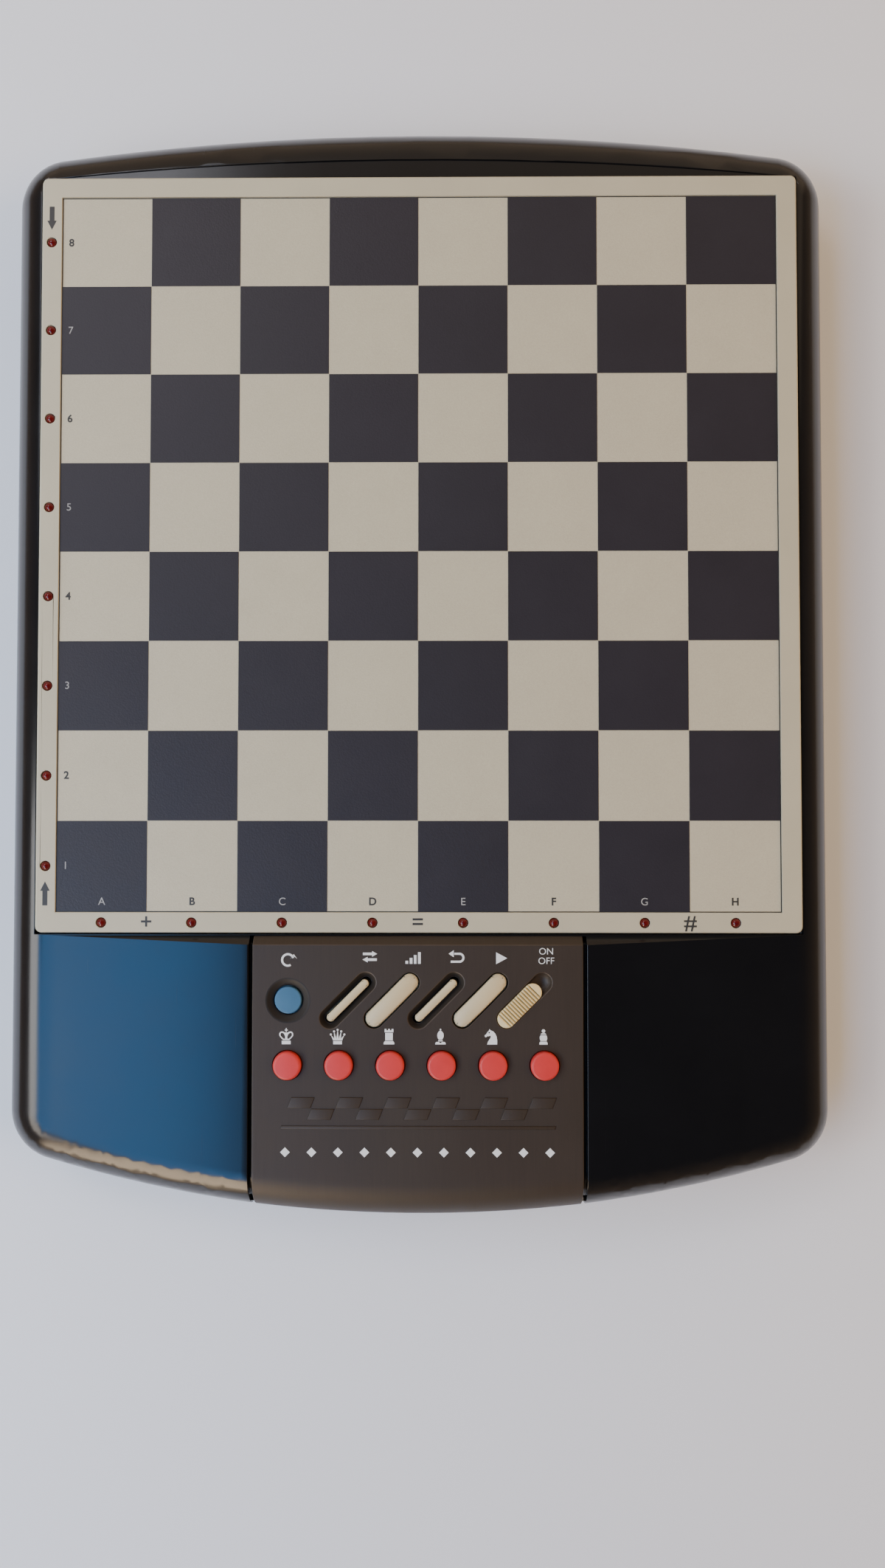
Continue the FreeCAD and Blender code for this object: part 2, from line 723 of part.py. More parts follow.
def keypad_screw_places():
    """Middles of the four keypad board screws."""
    middle, depth = keypad_frame()
    x = keypad_width / 2 - boss_inset
    y = depth / 2 - boss_inset
    return [(x * i, middle + y * j) for i in SIDES for j in SIDES]


def upper_case():
    """Black gloss shell with the board recess, the channel for the panel and its screw columns."""
    form = pillow("casing_form", 0)
    hollow = pillow("casing_hollow", wall)
    deep = pillow("casing_deep", wall + rail_depth)
    tall = deck_level * 2
    back = case_depth / 2
    zone = box("board_zone", (case_width, back - strip_low, tall),
               (as_size(0), (back + strip_low) / 2, ceiling_level))
    shell = cut("case_shell", form, cut("case_hollow", hollow, zone))
    channel = box("panel_channel", (channel_half * 2, back + strip_low, tall),
                  (as_size(0), (strip_low - back) / 2, lip_level))
    slabs = fuse("rail_slabs", *[
        box(f"rail_slab{i}", (rail_outer - rail_inner, back + strip_low, tall),
            ((rail_outer + rail_inner) / 2 * side, (strip_low - back) / 2, parting_level))
        for i, side in enumerate(SIDES)
    ])
    rails = cut("panel_rails", common("rail_blank", hollow, slabs), deep)
    columns = []
    for i, (x, y) in enumerate(screw_places()):
        under = ceiling_level if y.value > strip_low.value else panel_under
        height = under - parting_level + fit_gap
        columns.append(rod(f"upper_column{i}", column_width, height, (x, y, parting_level)))
    solid = fuse("upper_solid", cut("open_shell", shell, channel), rails, *columns)
    left, near = lamp_places()
    reach = recess_depth + wall * 2
    drill = small_screw + screw_air
    below = ceiling_level - wall
    ledge_level = platform_level - ledge_sink
    ledge_zone = recess_side / 2 + ledge_depth * 2
    ledge_edge = board_center + recess_side / 2 + ledge_depth
    tools = [
        box("board_recess", (recess_side, recess_side, tall), (as_size(0), board_center, recess_level)),
        common("back_ledge", box("ledge_zone", (recess_side, ledge_zone, tall),
                                 (as_size(0), board_center + ledge_zone / 2, ledge_level)),
               rod("ledge_bow_face", ledge_bow * 2, tall, (as_size(0), ledge_edge - ledge_bow, ledge_level))),
        holes("lamp_bores", left + near, led_diameter + led_air * 2, below, reach),
        holes("frame_bores", frame_screw_places(), drill, below, reach),
        holes("led_bores", sum(led_screw_places(), []), drill, below, wall * 1.8),
        holes("panel_bores", panel_screw_places(), drill, panel_under - wall * 2, wall * 2),
        holes("column_bores", screw_places(), case_screw + screw_air, parting_level - wall,
              case_screw_run - counterbore + wall),
        box("tail_slit", tail_slit_size(), (tail_place()[0], tail_place()[1], ceiling_level - wall)),
    ]
    nodes["upper_case"] = cut("upper_case", solid, *tools)
    return form, hollow


def tail_place():
    """Where the membrane's tail drops through the platform."""
    return main_width / 4, main_middle - main_depth / 4


def tail_slit_size():
    """Slit for the tail."""
    return tail_width + wall, wall, recess_depth + wall * 2


def lower_case():
    """Black tray with feet recesses, screw columns, board posts, buzzer seat and battery bay."""
    body = new_body("tray_form")
    plan = new_sketch(body, "tray_plan", "XY_Plane", foot_drop)
    plan_outline(plan, parting_step)
    block = pad(body, "tray_block", plan, parting_level - foot_drop)

    def is_lower(edge):
        point, along = edge_middle(edge)
        return point.z < foot_drop.value + fit_gap.value

    body_fillet(body, "tray_rounded", block, floor_round, is_lower)
    inner = new_body("tray_hollow")
    inner_plan = new_sketch(inner, "tray_hollow_plan", "XY_Plane", floor_top)
    plan_outline(inner_plan, parting_step + wall)
    pad(inner, "tray_hollow_block", inner_plan, parting_level)

    zero = as_size(0)
    rooted = floor_top - fit_gap
    columns = [
        rod(f"lower_column{i}", column_width, parting_level - rooted, (x, y, rooted))
        for i, (x, y) in enumerate(screw_places())
    ]
    posts = [
        rod(f"post{i}", standoff, main_base - rooted, (x, y, rooted))
        for i, (x, y) in enumerate(main_screw_places())
    ]
    bay_size = (bay_length + bay_wall * 2, bay_breadth + bay_wall * 2, bay_top - rooted)
    bay = box("bay_block", bay_size, (zero, bay_middle, rooted))
    x, y = buzzer_place()
    ring = buzzer_diameter + wall * 2
    seat = rod("buzzer_ring", ring, buzzer_seat * 2 + fit_gap, (x, y, rooted))
    solid = fuse("lower_solid", cut("tray", body, inner), bay, seat, *columns, *posts)
    door_room = door_top + fit_gap / 3
    recess = (bay_length + door_ledge * 2, bay_breadth + door_ledge * 2, door_room)
    seat_level = floor_top + buzzer_seat
    tools = [
        box("bay_space", (bay_length, bay_breadth, bay_top - bay_wall), (zero, bay_middle, zero)),
        box("door_recess", recess, (zero, bay_middle, zero)),
        rod("buzzer_space", buzzer_diameter + fit_gap * 2, buzzer_seat * 2, (x, y, seat_level)),
        rod("buzzer_chamber", buzzer_diameter - wall * 2, buzzer_seat * 2, (x, y, floor_top)),
        holes("sound_holes", sound_places(), wall, zero, floor_top + wall),
        holes("head_bores", screw_places(), case_head + key_gap * 2, zero, foot_drop + counterbore),
        holes("shank_bores", screw_places(), case_screw + screw_air * 2, zero, parting_level + wall),
        holes("post_bores", main_screw_places(), small_screw + screw_air, floor_top, main_lift),
        holes("foot_seats", foot_places(), foot_diameter + fit_gap * 2, zero, foot_drop + foot_seat),
        rod("socket_hole", socket_nose + key_gap * 2, wall * 3, socket_place_in(), "y"),
        rod("finger_scoop", cell_diameter, foot_drop + door_thickness,
            (bay_length / 2 + door_ledge, bay_middle, zero)),
    ]
    nodes["lower_case"] = cut("lower_case", solid, *tools)


def main_screw_places():
    """Middles of the four main board screws."""
    x = main_width / 2 - standoff_inset
    y = main_depth / 2 - standoff_inset
    return [(x * i, main_middle + y * j) for i in SIDES for j in SIDES]


def buzzer_place():
    """Middle of the buzzer, left of the battery bay."""
    return -(bay_length / 2 + buzzer_diameter * 1.6), bay_middle


def sound_places():
    """Middles of the sound holes: one in the middle and a ring of six."""
    x, y = buzzer_place()
    turns = [math.radians(60 * i) for i in range(6)]
    radius = buzzer_diameter / 5
    return [(x, y)] + [(x + radius * math.cos(turn), y + radius * math.sin(turn)) for turn in turns]


def foot_places():
    """Middles of the four feet."""
    x = case_width / 2 - foot_diameter * 2
    back = case_depth / 2 - foot_diameter * 2
    front = case_depth / 2 - foot_diameter * 2.8
    return [(x * side, y) for y in (back, -front) for side in SIDES]


def socket_place_in():
    """Where the adaptor socket's body meets the back wall: across, front to back, up."""
    bulge = back_bow - root(back_bow * back_bow - socket_place * socket_place)
    inner = case_depth / 2 - parting_step - wall - bulge - key_gap * 2
    return socket_place, inner, floor_top + socket_body / 2 + fit_gap


# Board


def board_frame():
    """Cream bezel with a lip over the sheet, lamp holes and blind screw holes."""
    body = new_body("frame_blank")
    half = frame_side / 2
    plan = new_sketch(body, "frame_plan", "XY_Plane", recess_level)
    corners = ((-1, -1), (1, -1), (1, 1), (-1, 1))
    polygon(plan, [(half * i, board_center + half * j) for i, j in corners])
    raised = pad(body, "frame_raised", plan, frame_height)

    def is_upright(edge):
        return abs(edge_middle(edge)[1].z) > 0.99

    body_fillet(body, "frame_rounded", raised, frame_corner, is_upright)
    tall = frame_height * 2
    seat = sheet_side + lip_gap * 2
    left, near = lamp_places()
    center = (as_size(0), board_center)
    nodes["board_frame"] = cut(
        "board_frame", body,
        box("frame_window", (window_side, window_side, tall), (*center, recess_level)),
        box("frame_seat", (seat, seat, lip_level_frame - recess_level + frame_height),
            (*center, recess_level - frame_height)),
        holes("frame_lamp_holes", left + near, led_diameter + led_air * 2, recess_level - wall, tall),
        holes("frame_screw_holes", frame_screw_places(), small_screw + screw_air, recess_level - wall,
              wall + frame_height / 2 + fit_gap),
    )
    run = wall + frame_height / 2
    nodes["frame_screws"] = small_screws("frame_screws", frame_screw_places(), ceiling_level, run)


def sensor_stack():
    """Two films with a spacer between them, the playing sheet, its printed squares and the tail."""
    center = (as_size(0), board_center)
    spacer_level = recess_level + film

    def layer(name, thickness, level):
        return box(name, (sheet_side, sheet_side, thickness), (*center, level))

    nodes["membrane_bottom"] = layer("membrane_bottom", film, recess_level)
    blank = layer("spacer_blank", spacer, spacer_level)
    steps = [square * (i - (SQUARES - 1) / 2) for i in range(SQUARES)]
    fields = [(x, board_center + y) for x in steps for y in steps]
    openings = holes("contact_holes", fields, contact_hole, spacer_level - film, spacer + film * 2)
    nodes["membrane_spacer"] = cut("membrane_spacer", blank, openings)
    nodes["membrane_top"] = layer("membrane_top", film, spacer_level + spacer)
    nodes["playing_sheet"] = layer("playing_sheet", sheet_thickness, film_top)
    inked = square - ink_inset * 2
    dark = [
        box(f"dark_square{i}{j}", (inked, inked, ink), (steps[i], board_center + steps[j], sheet_top))
        for i in range(SQUARES)
        for j in range(SQUARES)
        if (i + j) % 2 == 0
    ]
    nodes["dark_squares"] = group("dark_squares", dark)
    x, y = tail_place()
    tail_foot = main_top + connector_height / 2
    tail_size = (tail_width, film, recess_level - tail_foot)
    nodes["membrane_tail"] = box("membrane_tail", tail_size, (x, y, tail_foot))
    body_size = (tail_width + wall, connector_height, connector_height)
    body = box("connector_body", body_size, (x, y, main_top))
    slot_size = (tail_width + fit_gap * 2, film + fit_gap * 2, connector_height)
    slot = box("connector_slot", slot_size, (x, y, tail_foot))
    nodes["membrane_connector"] = cut("membrane_connector", body, slot)


def lamp(name, x, y):
    """A lamp: flange, round body and dome."""
    dome_level = frame_top + led_proud - led_diameter / 2
    dome = doc.addObject("Part::Sphere", f"{name}_dome")
    bind(dome, "Radius", led_diameter / 2)
    move(dome, (x, y, dome_level))
    flange = rod(f"{name}_flange", led_flange, led_flange_height, (x, y, led_base))
    stem = rod(f"{name}_stem", led_diameter, dome_level - led_base, (x, y, led_base))
    return fuse(name, flange, stem, dome)


def lamps():
    """Two rows of lamps on their boards, with the boards' screws."""
    left, near = lamp_places()
    for name, places in (("rank_leds", left), ("file_leds", near)):
        nodes[name] = group(name, [lamp(f"{name}{i}", x, y) for i, (x, y) in enumerate(places)])
    board_base = led_base - board_thickness
    shift = led_board_width / 4
    left_screws, near_screws = led_screw_places()
    drill = small_screw + screw_air
    low = board_base - board_thickness
    deep = board_thickness * 3
    rank = box("rank_led_blank", (led_board_width, led_board_run, board_thickness),
               (-led_line + shift, board_center, board_base))
    rank_drill = holes("rank_drill", left_screws, drill, low, deep)
    nodes["rank_led_board"] = cut("rank_led_board", rank, rank_drill)
    near_run = led_board_run - led_board_width
    near_blank = box("file_led_blank", (near_run, led_board_width, board_thickness),
                     (led_board_width, board_center - led_line + shift, board_base))
    near_drill = holes("file_drill", near_screws, drill, low, deep)
    nodes["file_led_board"] = cut("file_led_board", near_blank, near_drill)
    nodes["led_board_screws"] = small_screws("led_board_screws", left_screws + near_screws, board_base,
                                             board_thickness + led_flange_height + wall * 0.6)


# Key panel, keys and keypad


def button_places():
    """The six piece buttons from left to right."""
    names = ("king", "queen", "rook", "bishop", "knight", "pawn")
    return {name: button_pitch * (i - (len(names) - 1) / 2) - button_shift for i, name in enumerate(names)}


def key_places():
    """The four slanted keys and the slider from left to right."""
    names = ("mode", "level", "take_back", "play", "go_stop")
    return {name: key_middle + key_pitch * (i - 2) for i, name in enumerate(names)}


def control_panel(form, hollow):
    """Matte panel that follows the casing's form, with its holes and the bosses below."""
    back = case_depth / 2
    tall = deck_level * 2
    slab = box("panel_slab", (panel_half * 2, back + strip_low - fit_gap, tall),
               (as_size(0), (strip_low - fit_gap - back) / 2, lip_level + fit_gap))
    skin = cut("panel_skin", common("panel_blank", form, slab), hollow)
    bosses = [
        rod(f"panel_boss{i}", boss_width, keypad_drop + fit_gap, (x, y, keypad_top))
        for i, (x, y) in enumerate(keypad_screw_places())
    ]
    places = key_places()
    low = panel_under - wall
    through = wall * 3
    drill = small_screw + screw_air

    def slot(name, key, span, width, height, level):
        return lean(capsule(name, span, width, height, level), places[key], key_line)

    pan_level = deck_level - slider_floor - slider_pan
    pan = slot("slider_pan_block", "go_stop", key_span, slot_width + wall, slider_floor, pan_level)
    solid = fuse("panel_solid", skin, pan, *bosses)
    start_width = start_diameter + key_gap * 2
    neck_run = neck_span + key_span - slider_span
    button_middles = [(x, button_line) for x in button_places().values()]
    tools = [
        holes("button_holes", button_middles, button_diameter + key_gap * 2, low, through),
        rod("start_hole", start_width, through, (-start_place, key_line, low)),
        cone("start_dish", start_width, dish_diameter * 2 - start_width, dish_depth * 2,
             (-start_place, key_line, deck_level - dish_depth)),
        lean(trench("slider_slot", key_span, trench_width), places["go_stop"], key_line),
        slot("neck_slot", "go_stop", neck_run, slider_neck + key_gap * 2, through, low),
        holes("keypad_bores", keypad_screw_places(), drill, keypad_top - wall, keypad_drop + wall),
        holes("rail_bores", panel_screw_places(), drill, low, wall * 1.7),
    ]
    for key in ("level", "play"):
        tools.append(slot(f"{key}_slot", key, key_span, slot_width, through, low))
    for key in ("mode", "take_back"):
        tools.append(slot(f"{key}_slot", key, blade_span, blade_width + key_gap * 2, through, low))
        recess = tapered(f"{key}_trough", key_span, trough_floor, trough_width * 2 - trough_floor,
                         trough_depth * 2, deck_level - trough_depth)
        tools.append(lean(recess, places[key], key_line))
    nodes["control_panel"] = cut("control_panel", solid, *tools)
    nodes["panel_screws"] = small_screws("panel_screws", panel_screw_places(), panel_under - rail_depth,
                                         rail_depth + wall * 0.6)


def round_button(name, diameter, top, x, y):
    """A round button with a rounded top edge and a flange that holds it under the panel."""
    stem = rod(f"{name}_stem", diameter, top - flange_base, (x, y, flange_base))

    def is_top(edge):
        return abs(edge_middle(edge)[0].z - top.value) < 0.001

    cap = rounded(f"{name}_cap", stem, button_edge, is_top)
    flange = rod(f"{name}_flange", diameter + flange_reach * 2, flange_height, (x, y, flange_base))
    nodes[name] = fuse(name, cap, flange)


def slanted_key(name, span, width, top, crown, dome, x):
    """A slanted bar key, crowned along and across, with a flange that holds it under the panel."""
    bar = capsule(f"{name}_bar", span, width, top - flange_base, flange_base)
    arch = rod(f"{name}_arch", crown * 2, width * 2, (as_size(0), -width, top - crown), "y")
    vault = fuse(f"{name}_vault", rod(f"{name}_dome", dome * 2, span * 2, (-span, as_size(0), top - dome), "x"),
                 box(f"{name}_base", (span * 2, dome * 2, dome * 3), (as_size(0), as_size(0), top - dome * 4)))
    crowned = common(f"{name}_crowned", common(f"{name}_arched", bar, arch), vault)
    flange = capsule(f"{name}_flange", span, width + flange_reach * 2, flange_height, flange_base)
    nodes[name] = lean(fuse(name, crowned, flange), x, key_line)


def slider(x):
    """Ribbed slider knob at the near end of its slot, with neck, holding plate and switch pin."""
    floor = deck_level - slider_floor + key_gap
    top = deck_level + key_proud
    bar = common("slider_body", capsule("slider_bar", slider_span, key_width, top - floor, floor),
                 trench("slider_round", slider_span, trench_width - key_gap * 2))
    zero = as_size(0)
    arch = rod("slider_arch", key_crown * 2, key_width * 2, (zero, -key_width, top - key_crown), "y")
    rows = int(slider_span.value / rib_pitch.value)
    grooves = group("grip_grooves", [
        box(f"grip_groove{i}", (rib_groove, key_width * 2, rib_groove * 4),
            (rib_pitch * (i - (rows - 1) / 2), zero, top - rib_groove * 2))
        for i in range(rows)
    ])
    grip = cut("slider_grip", common("slider_crowned", bar, arch), grooves)
    plate_top = deck_level - slider_floor - slider_pan - fit_gap
    plate_base = plate_top - slider_plate
    neck_top = deck_level - slider_floor / 2
    neck = capsule("slider_neck_bar", neck_span, slider_neck, neck_top - plate_base, plate_base)
    plate = capsule("slider_plate_bar", neck_span * 2, key_width, slider_plate, plate_base)
    pin_foot = keypad_top + switch_height / 2
    pin = rod("slider_pin", switch_pin, plate_base - pin_foot + fit_gap, (zero, zero, pin_foot))
    rest = (key_span - slider_span) / 2 * math.cos(math.radians(key_lean.value))
    rest_up = (key_span - slider_span) / 2 * math.sin(math.radians(key_lean.value))
    knob = fuse("go_stop_slider", grip, neck, plate, pin)
    nodes["go_stop_slider"] = move(knob, (x - rest, key_line - rest_up, zero), key_lean)


def keys():
    """Every button, key and the slider."""
    for piece, x in button_places().items():
        round_button(f"{piece}_button", button_diameter, deck_level + button_proud, x, button_line)
    round_button("new_game_button", start_diameter, deck_level - start_sink, -start_place, key_line)
    places = key_places()
    for name in ("level", "play"):
        slanted_key(f"{name}_key", key_span, key_width, deck_level + key_proud, key_crown, key_dome,
                    places[name])
    for name in ("mode", "take_back"):
        slanted_key(f"{name}_key", blade_span, blade_width, deck_level + blade_proud, key_crown * 4,
                    blade_dome, places[name])
    slider(places["go_stop"])


def keypad():
    """Rubber mat with a dome under each key, its circuit board, the slide switch and screws."""
    middle, depth = keypad_frame()
    zero = as_size(0)
    drill = small_screw + screw_air
    board = box("keypad_blank", (keypad_width, depth, board_thickness), (zero, middle, keypad_base))
    nodes["keypad_board"] = cut("keypad_board", board, holes(
        "keypad_drill", keypad_screw_places(), drill, keypad_base - wall, board_thickness + wall * 2))
    places = key_places()
    dome_places = [(x, button_line) for x in button_places().values()]
    dome_places += [(x, key_line) for name, x in places.items() if name != "go_stop"]
    dome_places.append((-start_place, key_line))
    sheet_size = (keypad_width - mat_inset * 2, depth - mat_inset * 2, mat_thickness)
    rubber = box("mat_sheet", sheet_size, (zero, middle, keypad_top))
    domes = [
        cone(f"mat_dome{i}", dome_foot, dome_head, dome_top - mat_top, (x, y, mat_top))
        for i, (x, y) in enumerate(dome_places)
    ]
    low = keypad_top - wall
    clear = lean(capsule("switch_clear", switch_length, switch_width * 1.5, wall * 2, low),
                 places["go_stop"], key_line)
    boss_holes = holes("mat_drill", keypad_screw_places(), boss_width + key_gap * 2, low, wall * 2)
    nodes["keypad_mat"] = cut("keypad_mat", fuse("mat_solid", rubber, *domes), clear, boss_holes)
    body = box("switch_body", (switch_length, switch_width, switch_height), (zero, zero, keypad_top))
    slot = capsule("switch_slot", key_span - slider_span, switch_pin + fit_gap * 2, switch_height,
                   keypad_top + switch_height / 2 - fit_gap)
    nodes["slide_switch"] = lean(cut("slide_switch", body, slot), places["go_stop"], key_line)
    nodes["keypad_screws"] = small_screws("keypad_screws", keypad_screw_places(), keypad_base,
                                          board_thickness + keypad_drop * 0.8)


# Electronics and power


def route(points, bend):
    """A path of straight runs joined by tangent arcs."""
    knots = [FreeCAD.Vector(*[as_size(c).value for c in point]) for point in points]
    edges = []
    start = knots[0]
    for before, corner, after in zip(knots, knots[1:], knots[2:]):
        come = (before - corner).normalize()
        go = (after - corner).normalize()
        half = come.getAngle(go) / 2
        back = bend / math.tan(half)
        enter = corner + come * back
        leave = corner + go * back
        inward = (come + go).normalize()
        crest = corner + inward * (bend / math.sin(half) - bend)
        edges.append(Part.LineSegment(start, enter).toShape())
        edges.append(Part.Arc(enter, crest, leave).toShape())
        start = leave
    edges.append(Part.LineSegment(start, knots[-1]).toShape())
    return Part.Wire(edges)


def swept(path, profile):
    """A solid of one section along a path."""
    return path.makePipeShell([profile], True, False)


def flat_cable(name, points, width, across):
    """A ribbon cable along a path in an upright plane."""
    path = route(points, ribbon.value * 4)
    start = path.Edges[0].valueAt(path.Edges[0].FirstParameter)
    along = path.Edges[0].tangentAt(path.Edges[0].FirstParameter)
    up = across.cross(along)
    half = across * (width.value / 2)
    thick = up * (ribbon.value / 2)
    corners = [start - half - thick, start + half - thick, start + half + thick, start - half + thick]
    profile = Part.makePolygon(corners + corners[:1])
    obj = doc.addObject("Part::Feature", name)
    obj.Shape = swept(path, profile)
    nodes[name] = obj


def lead_pair(name, routes):
    """Insulated leads, each along its own path."""
    solids = []
    for points in routes:
        path = route(points, lead.value * 3)
        first = path.Edges[0]
        start = first.valueAt(first.FirstParameter)
        along = first.tangentAt(first.FirstParameter)
        circle = Part.Circle(start, along, lead.value / 2)
        solids.append(swept(path, Part.Wire([circle.toShape()])))
    obj = doc.addObject("Part::Feature", name)
    obj.Shape = Part.makeCompound(solids)
    nodes[name] = obj


def electronics():
    """Main board with its parts, buzzer and ribbon cables."""
    zero = as_size(0)
    drill = small_screw + screw_air
    blank = box("main_blank", (main_width, main_depth, board_thickness), (zero, main_middle, main_base))
    nodes["main_board"] = cut("main_board", blank, holes(
        "main_drill", main_screw_places(), drill, main_base - wall, board_thickness + wall * 2))
    heads = [
        (x, y, main_top) for x, y in main_screw_places()
    ]
    nodes["main_board_screws"] = group("main_board_screws", [
        fuse(f"main_screw{i}", rod(f"main_screw_head{i}", small_head, small_head_height, (x, y, z)),
             rod(f"main_screw_shank{i}", small_screw, board_thickness + main_lift * 0.8,
                 (x, y, z - board_thickness - main_lift * 0.8)))
        for i, (x, y, z) in enumerate(heads)
    ])
    quarter = main_width / 4
    far_row = main_middle + main_depth / 4
    controller = (controller_length, controller_width, controller_height)
    nodes["microcontroller"] = box("microcontroller", controller, (-quarter / 2, main_middle, main_top))
    nodes["driver_chips"] = group("driver_chips", [
        box(f"driver_chip{i}", (driver_length, driver_width, driver_height),
            (-quarter + driver_length * 1.4 * i, far_row, main_top))
        for i in range(2)
    ])
    resonator = (resonator_length, resonator_width, resonator_height)
    nodes["ceramic_resonator"] = box("ceramic_resonator", resonator,
                                     (quarter, main_middle + resonator_length, main_top))
    nodes["capacitors"] = group("capacitors", [
        rod(f"capacitor{i}", capacitor_diameter, capacitor_height,
            (quarter + capacitor_diameter * 1.5 * i, far_row, main_top))
        for i in range(2)
    ])
    x, y = buzzer_place()
    nodes["buzzer"] = rod("buzzer", buzzer_diameter, buzzer_thickness, (x, y, floor_top + buzzer_seat))
    keypad_middle, keypad_depth = keypad_frame()
    keypad_edge = keypad_middle + keypad_depth / 2
    half = ribbon / 2
    lap = cable_lap
    board_edge = main_middle - main_depth / 2
    on_main = main_top + half
    lamp_under = led_base - board_thickness - half
    flat_cable("keypad_ribbon", [
        (zero, keypad_edge - lap, keypad_base - half),
        (zero, keypad_edge + lap / 4, keypad_base - half),
        (zero, keypad_edge + lap * 2, on_main),
        (zero, board_edge + lap, on_main),
    ], keypad_ribbon_width, X_AXIS)
    near = board_center - led_line + led_board_width / 4
    flat_cable("file_led_ribbon", [
        (-square, near - lap / 2, lamp_under),
        (-square, board_edge - lap, lamp_under),
        (-square, board_edge - lap / 2, on_main),
        (-square, board_edge + lap, on_main),
    ], ribbon_width, X_AXIS)
    side = led_board_width / 4 - led_line
    far = main_middle + lap
    flat_cable("rank_led_ribbon", [
        (side - lap / 2, far, lamp_under),
        (side + lap * 3, far, lamp_under),
        (-main_width / 2 - lap, far, on_main),
        (-main_width / 2 + lap, far, on_main),
    ], ribbon_width, -Y_AXIS)


def power():
    """Battery door, cells, contacts and the adaptor socket with the leads."""
    zero = as_size(0)
    rows = [bay_middle + cell_pitch * (i - 1.5) for i in range(4)]
    spread = door_ledge * 2 - door_gap * 2
    plate = (bay_length + spread, bay_breadth + spread, door_thickness)
    skirt_y = bay_breadth / 2 - bay_air / 3
    skirts = [
        box(f"door_skirt{i}", (bay_length * 0.7, bay_air / 2, cell_diameter / 2),
            (zero, bay_middle + skirt_y * side, door_top - fit_gap / 3))
        for i, side in enumerate(SIDES)
    ]
    ribs = [
        box(f"door_rib{i}", (bay_wall, bay_breadth - bay_air * 2, floor_top - door_top + fit_gap / 3),
            (bay_length / 4 * side, bay_middle, door_top - fit_gap / 3))
        for i, side in enumerate(SIDES)
    ]
    door_plate = box("door_plate", plate, (zero, bay_middle, foot_drop))
    nodes["battery_door"] = fuse("battery_door", door_plate, *skirts, *ribs)
    cells = []
    contacts = []
    half = (cell_length + nub_height) / 2
    contact_place = half + contact_boss + contact_plate / 2
    for i, y in enumerate(rows):
        way = 1 if i % 2 == 0 else -1
        can_start = -half if way > 0 else nub_height - half
        nub_start = half - nub_height if way > 0 else -half
        can = rod(f"cell_can{i}", cell_diameter, cell_length, (can_start, y, cell_axis), "x")
        nub = rod(f"cell_nub{i}", nub_diameter, nub_height, (nub_start, y, cell_axis), "x")
        cells.append(fuse(f"cell{i}", can, nub))
        for j, side in enumerate(SIDES):
            face = box(f"contact_face{i}{j}", (contact_plate, contact_width, contact_width),
                       (contact_place * side, y, cell_axis - contact_width / 2))
            start = half if side > 0 else -half - contact_boss
            dimple = rod(f"contact_dimple{i}{j}", nub_diameter, contact_boss, (start, y, cell_axis), "x")
            contacts.append(fuse(f"contact{i}{j}", face, dimple))
    nodes["batteries"] = group("batteries", cells)
    nodes["battery_contacts"] = group("battery_contacts", contacts)

    x, wall_face, level = socket_place_in()
    body_depth = socket_depth + wall
    shell = box("socket_shell", (socket_body, body_depth, socket_body),
                (x, wall_face - body_depth / 2, level - socket_body / 2))
    nose = rod("socket_nose_tube", socket_nose, wall, (x, wall_face, level), "y")
    bore = rod("socket_bore_space", socket_bore, socket_depth,
               (x, wall_face + wall - socket_depth, level), "y")
    pin = rod("socket_center_pin", socket_pin, socket_depth - wall / 2,
              (x, wall_face + wall / 2 - socket_depth, level), "y")
    hollow = cut("socket_hollow", fuse("socket_solid", shell, nose), bore)
    nodes["dc_socket"] = fuse("dc_socket", hollow, pin)

    bay_side = bay_length / 2 + bay_wall
    top = main_top + lead / 2
    board_back = main_middle + main_depth / 2
    lap = cable_lap
    first = rows[0] - lead_pitch / 2
    lead_pair("battery_leads", [
        [(bay_side, first - step, cell_axis), (bay_side + lap + step, first - step, cell_axis),
         (bay_side + lap + step, board_back - lap / 4, top), (bay_side + lap + step, board_back - lap, top)]
        for step in (as_size(0), lead_pitch)
    ])
    socket_back = wall_face - body_depth
    board_end = main_width / 2 - lap
    shifts = [lead_pitch / 2 * way for way in SIDES]
    lead_pair("socket_leads", [
        [(x + shift, socket_back, level), (x + shift, socket_back - lap * 2, level),
         (board_end + shift, board_back + lap, top), (board_end + shift, board_back - lap / 2, top)]
        for shift in shifts
    ])
    x, y = buzzer_place()
    face = floor_top + buzzer_seat + buzzer_thickness + lead / 2
    over = face + standoff
    board_end = standoff_inset * 2 - main_width / 2
    lead_pair("buzzer_leads", [
        [(x + shift, y, face), (x + shift, y - lap, face), (x + shift, y - lap * 1.7, over),
         (x + shift, board_back + lap * 2, over), (board_end + shift, board_back + lap / 2, top),
         (board_end + shift, board_back - lap / 2, top)]
        for shift in shifts
    ])


def feet_and_screws():
    """Rubber feet and the casing screws."""
    nodes["rubber_feet"] = group("rubber_feet", [
        rod(f"rubber_foot{i}", foot_diameter, foot_drop + foot_seat, (x, y, as_size(0)))
        for i, (x, y) in enumerate(foot_places())
    ])
    nodes["case_screws"] = group("case_screws", [
        screw(f"case_screw{i}", case_head, case_head_height, case_screw, case_screw_run - wall,
              (x, y, foot_drop + counterbore))
        for i, (x, y) in enumerate(screw_places())
    ])


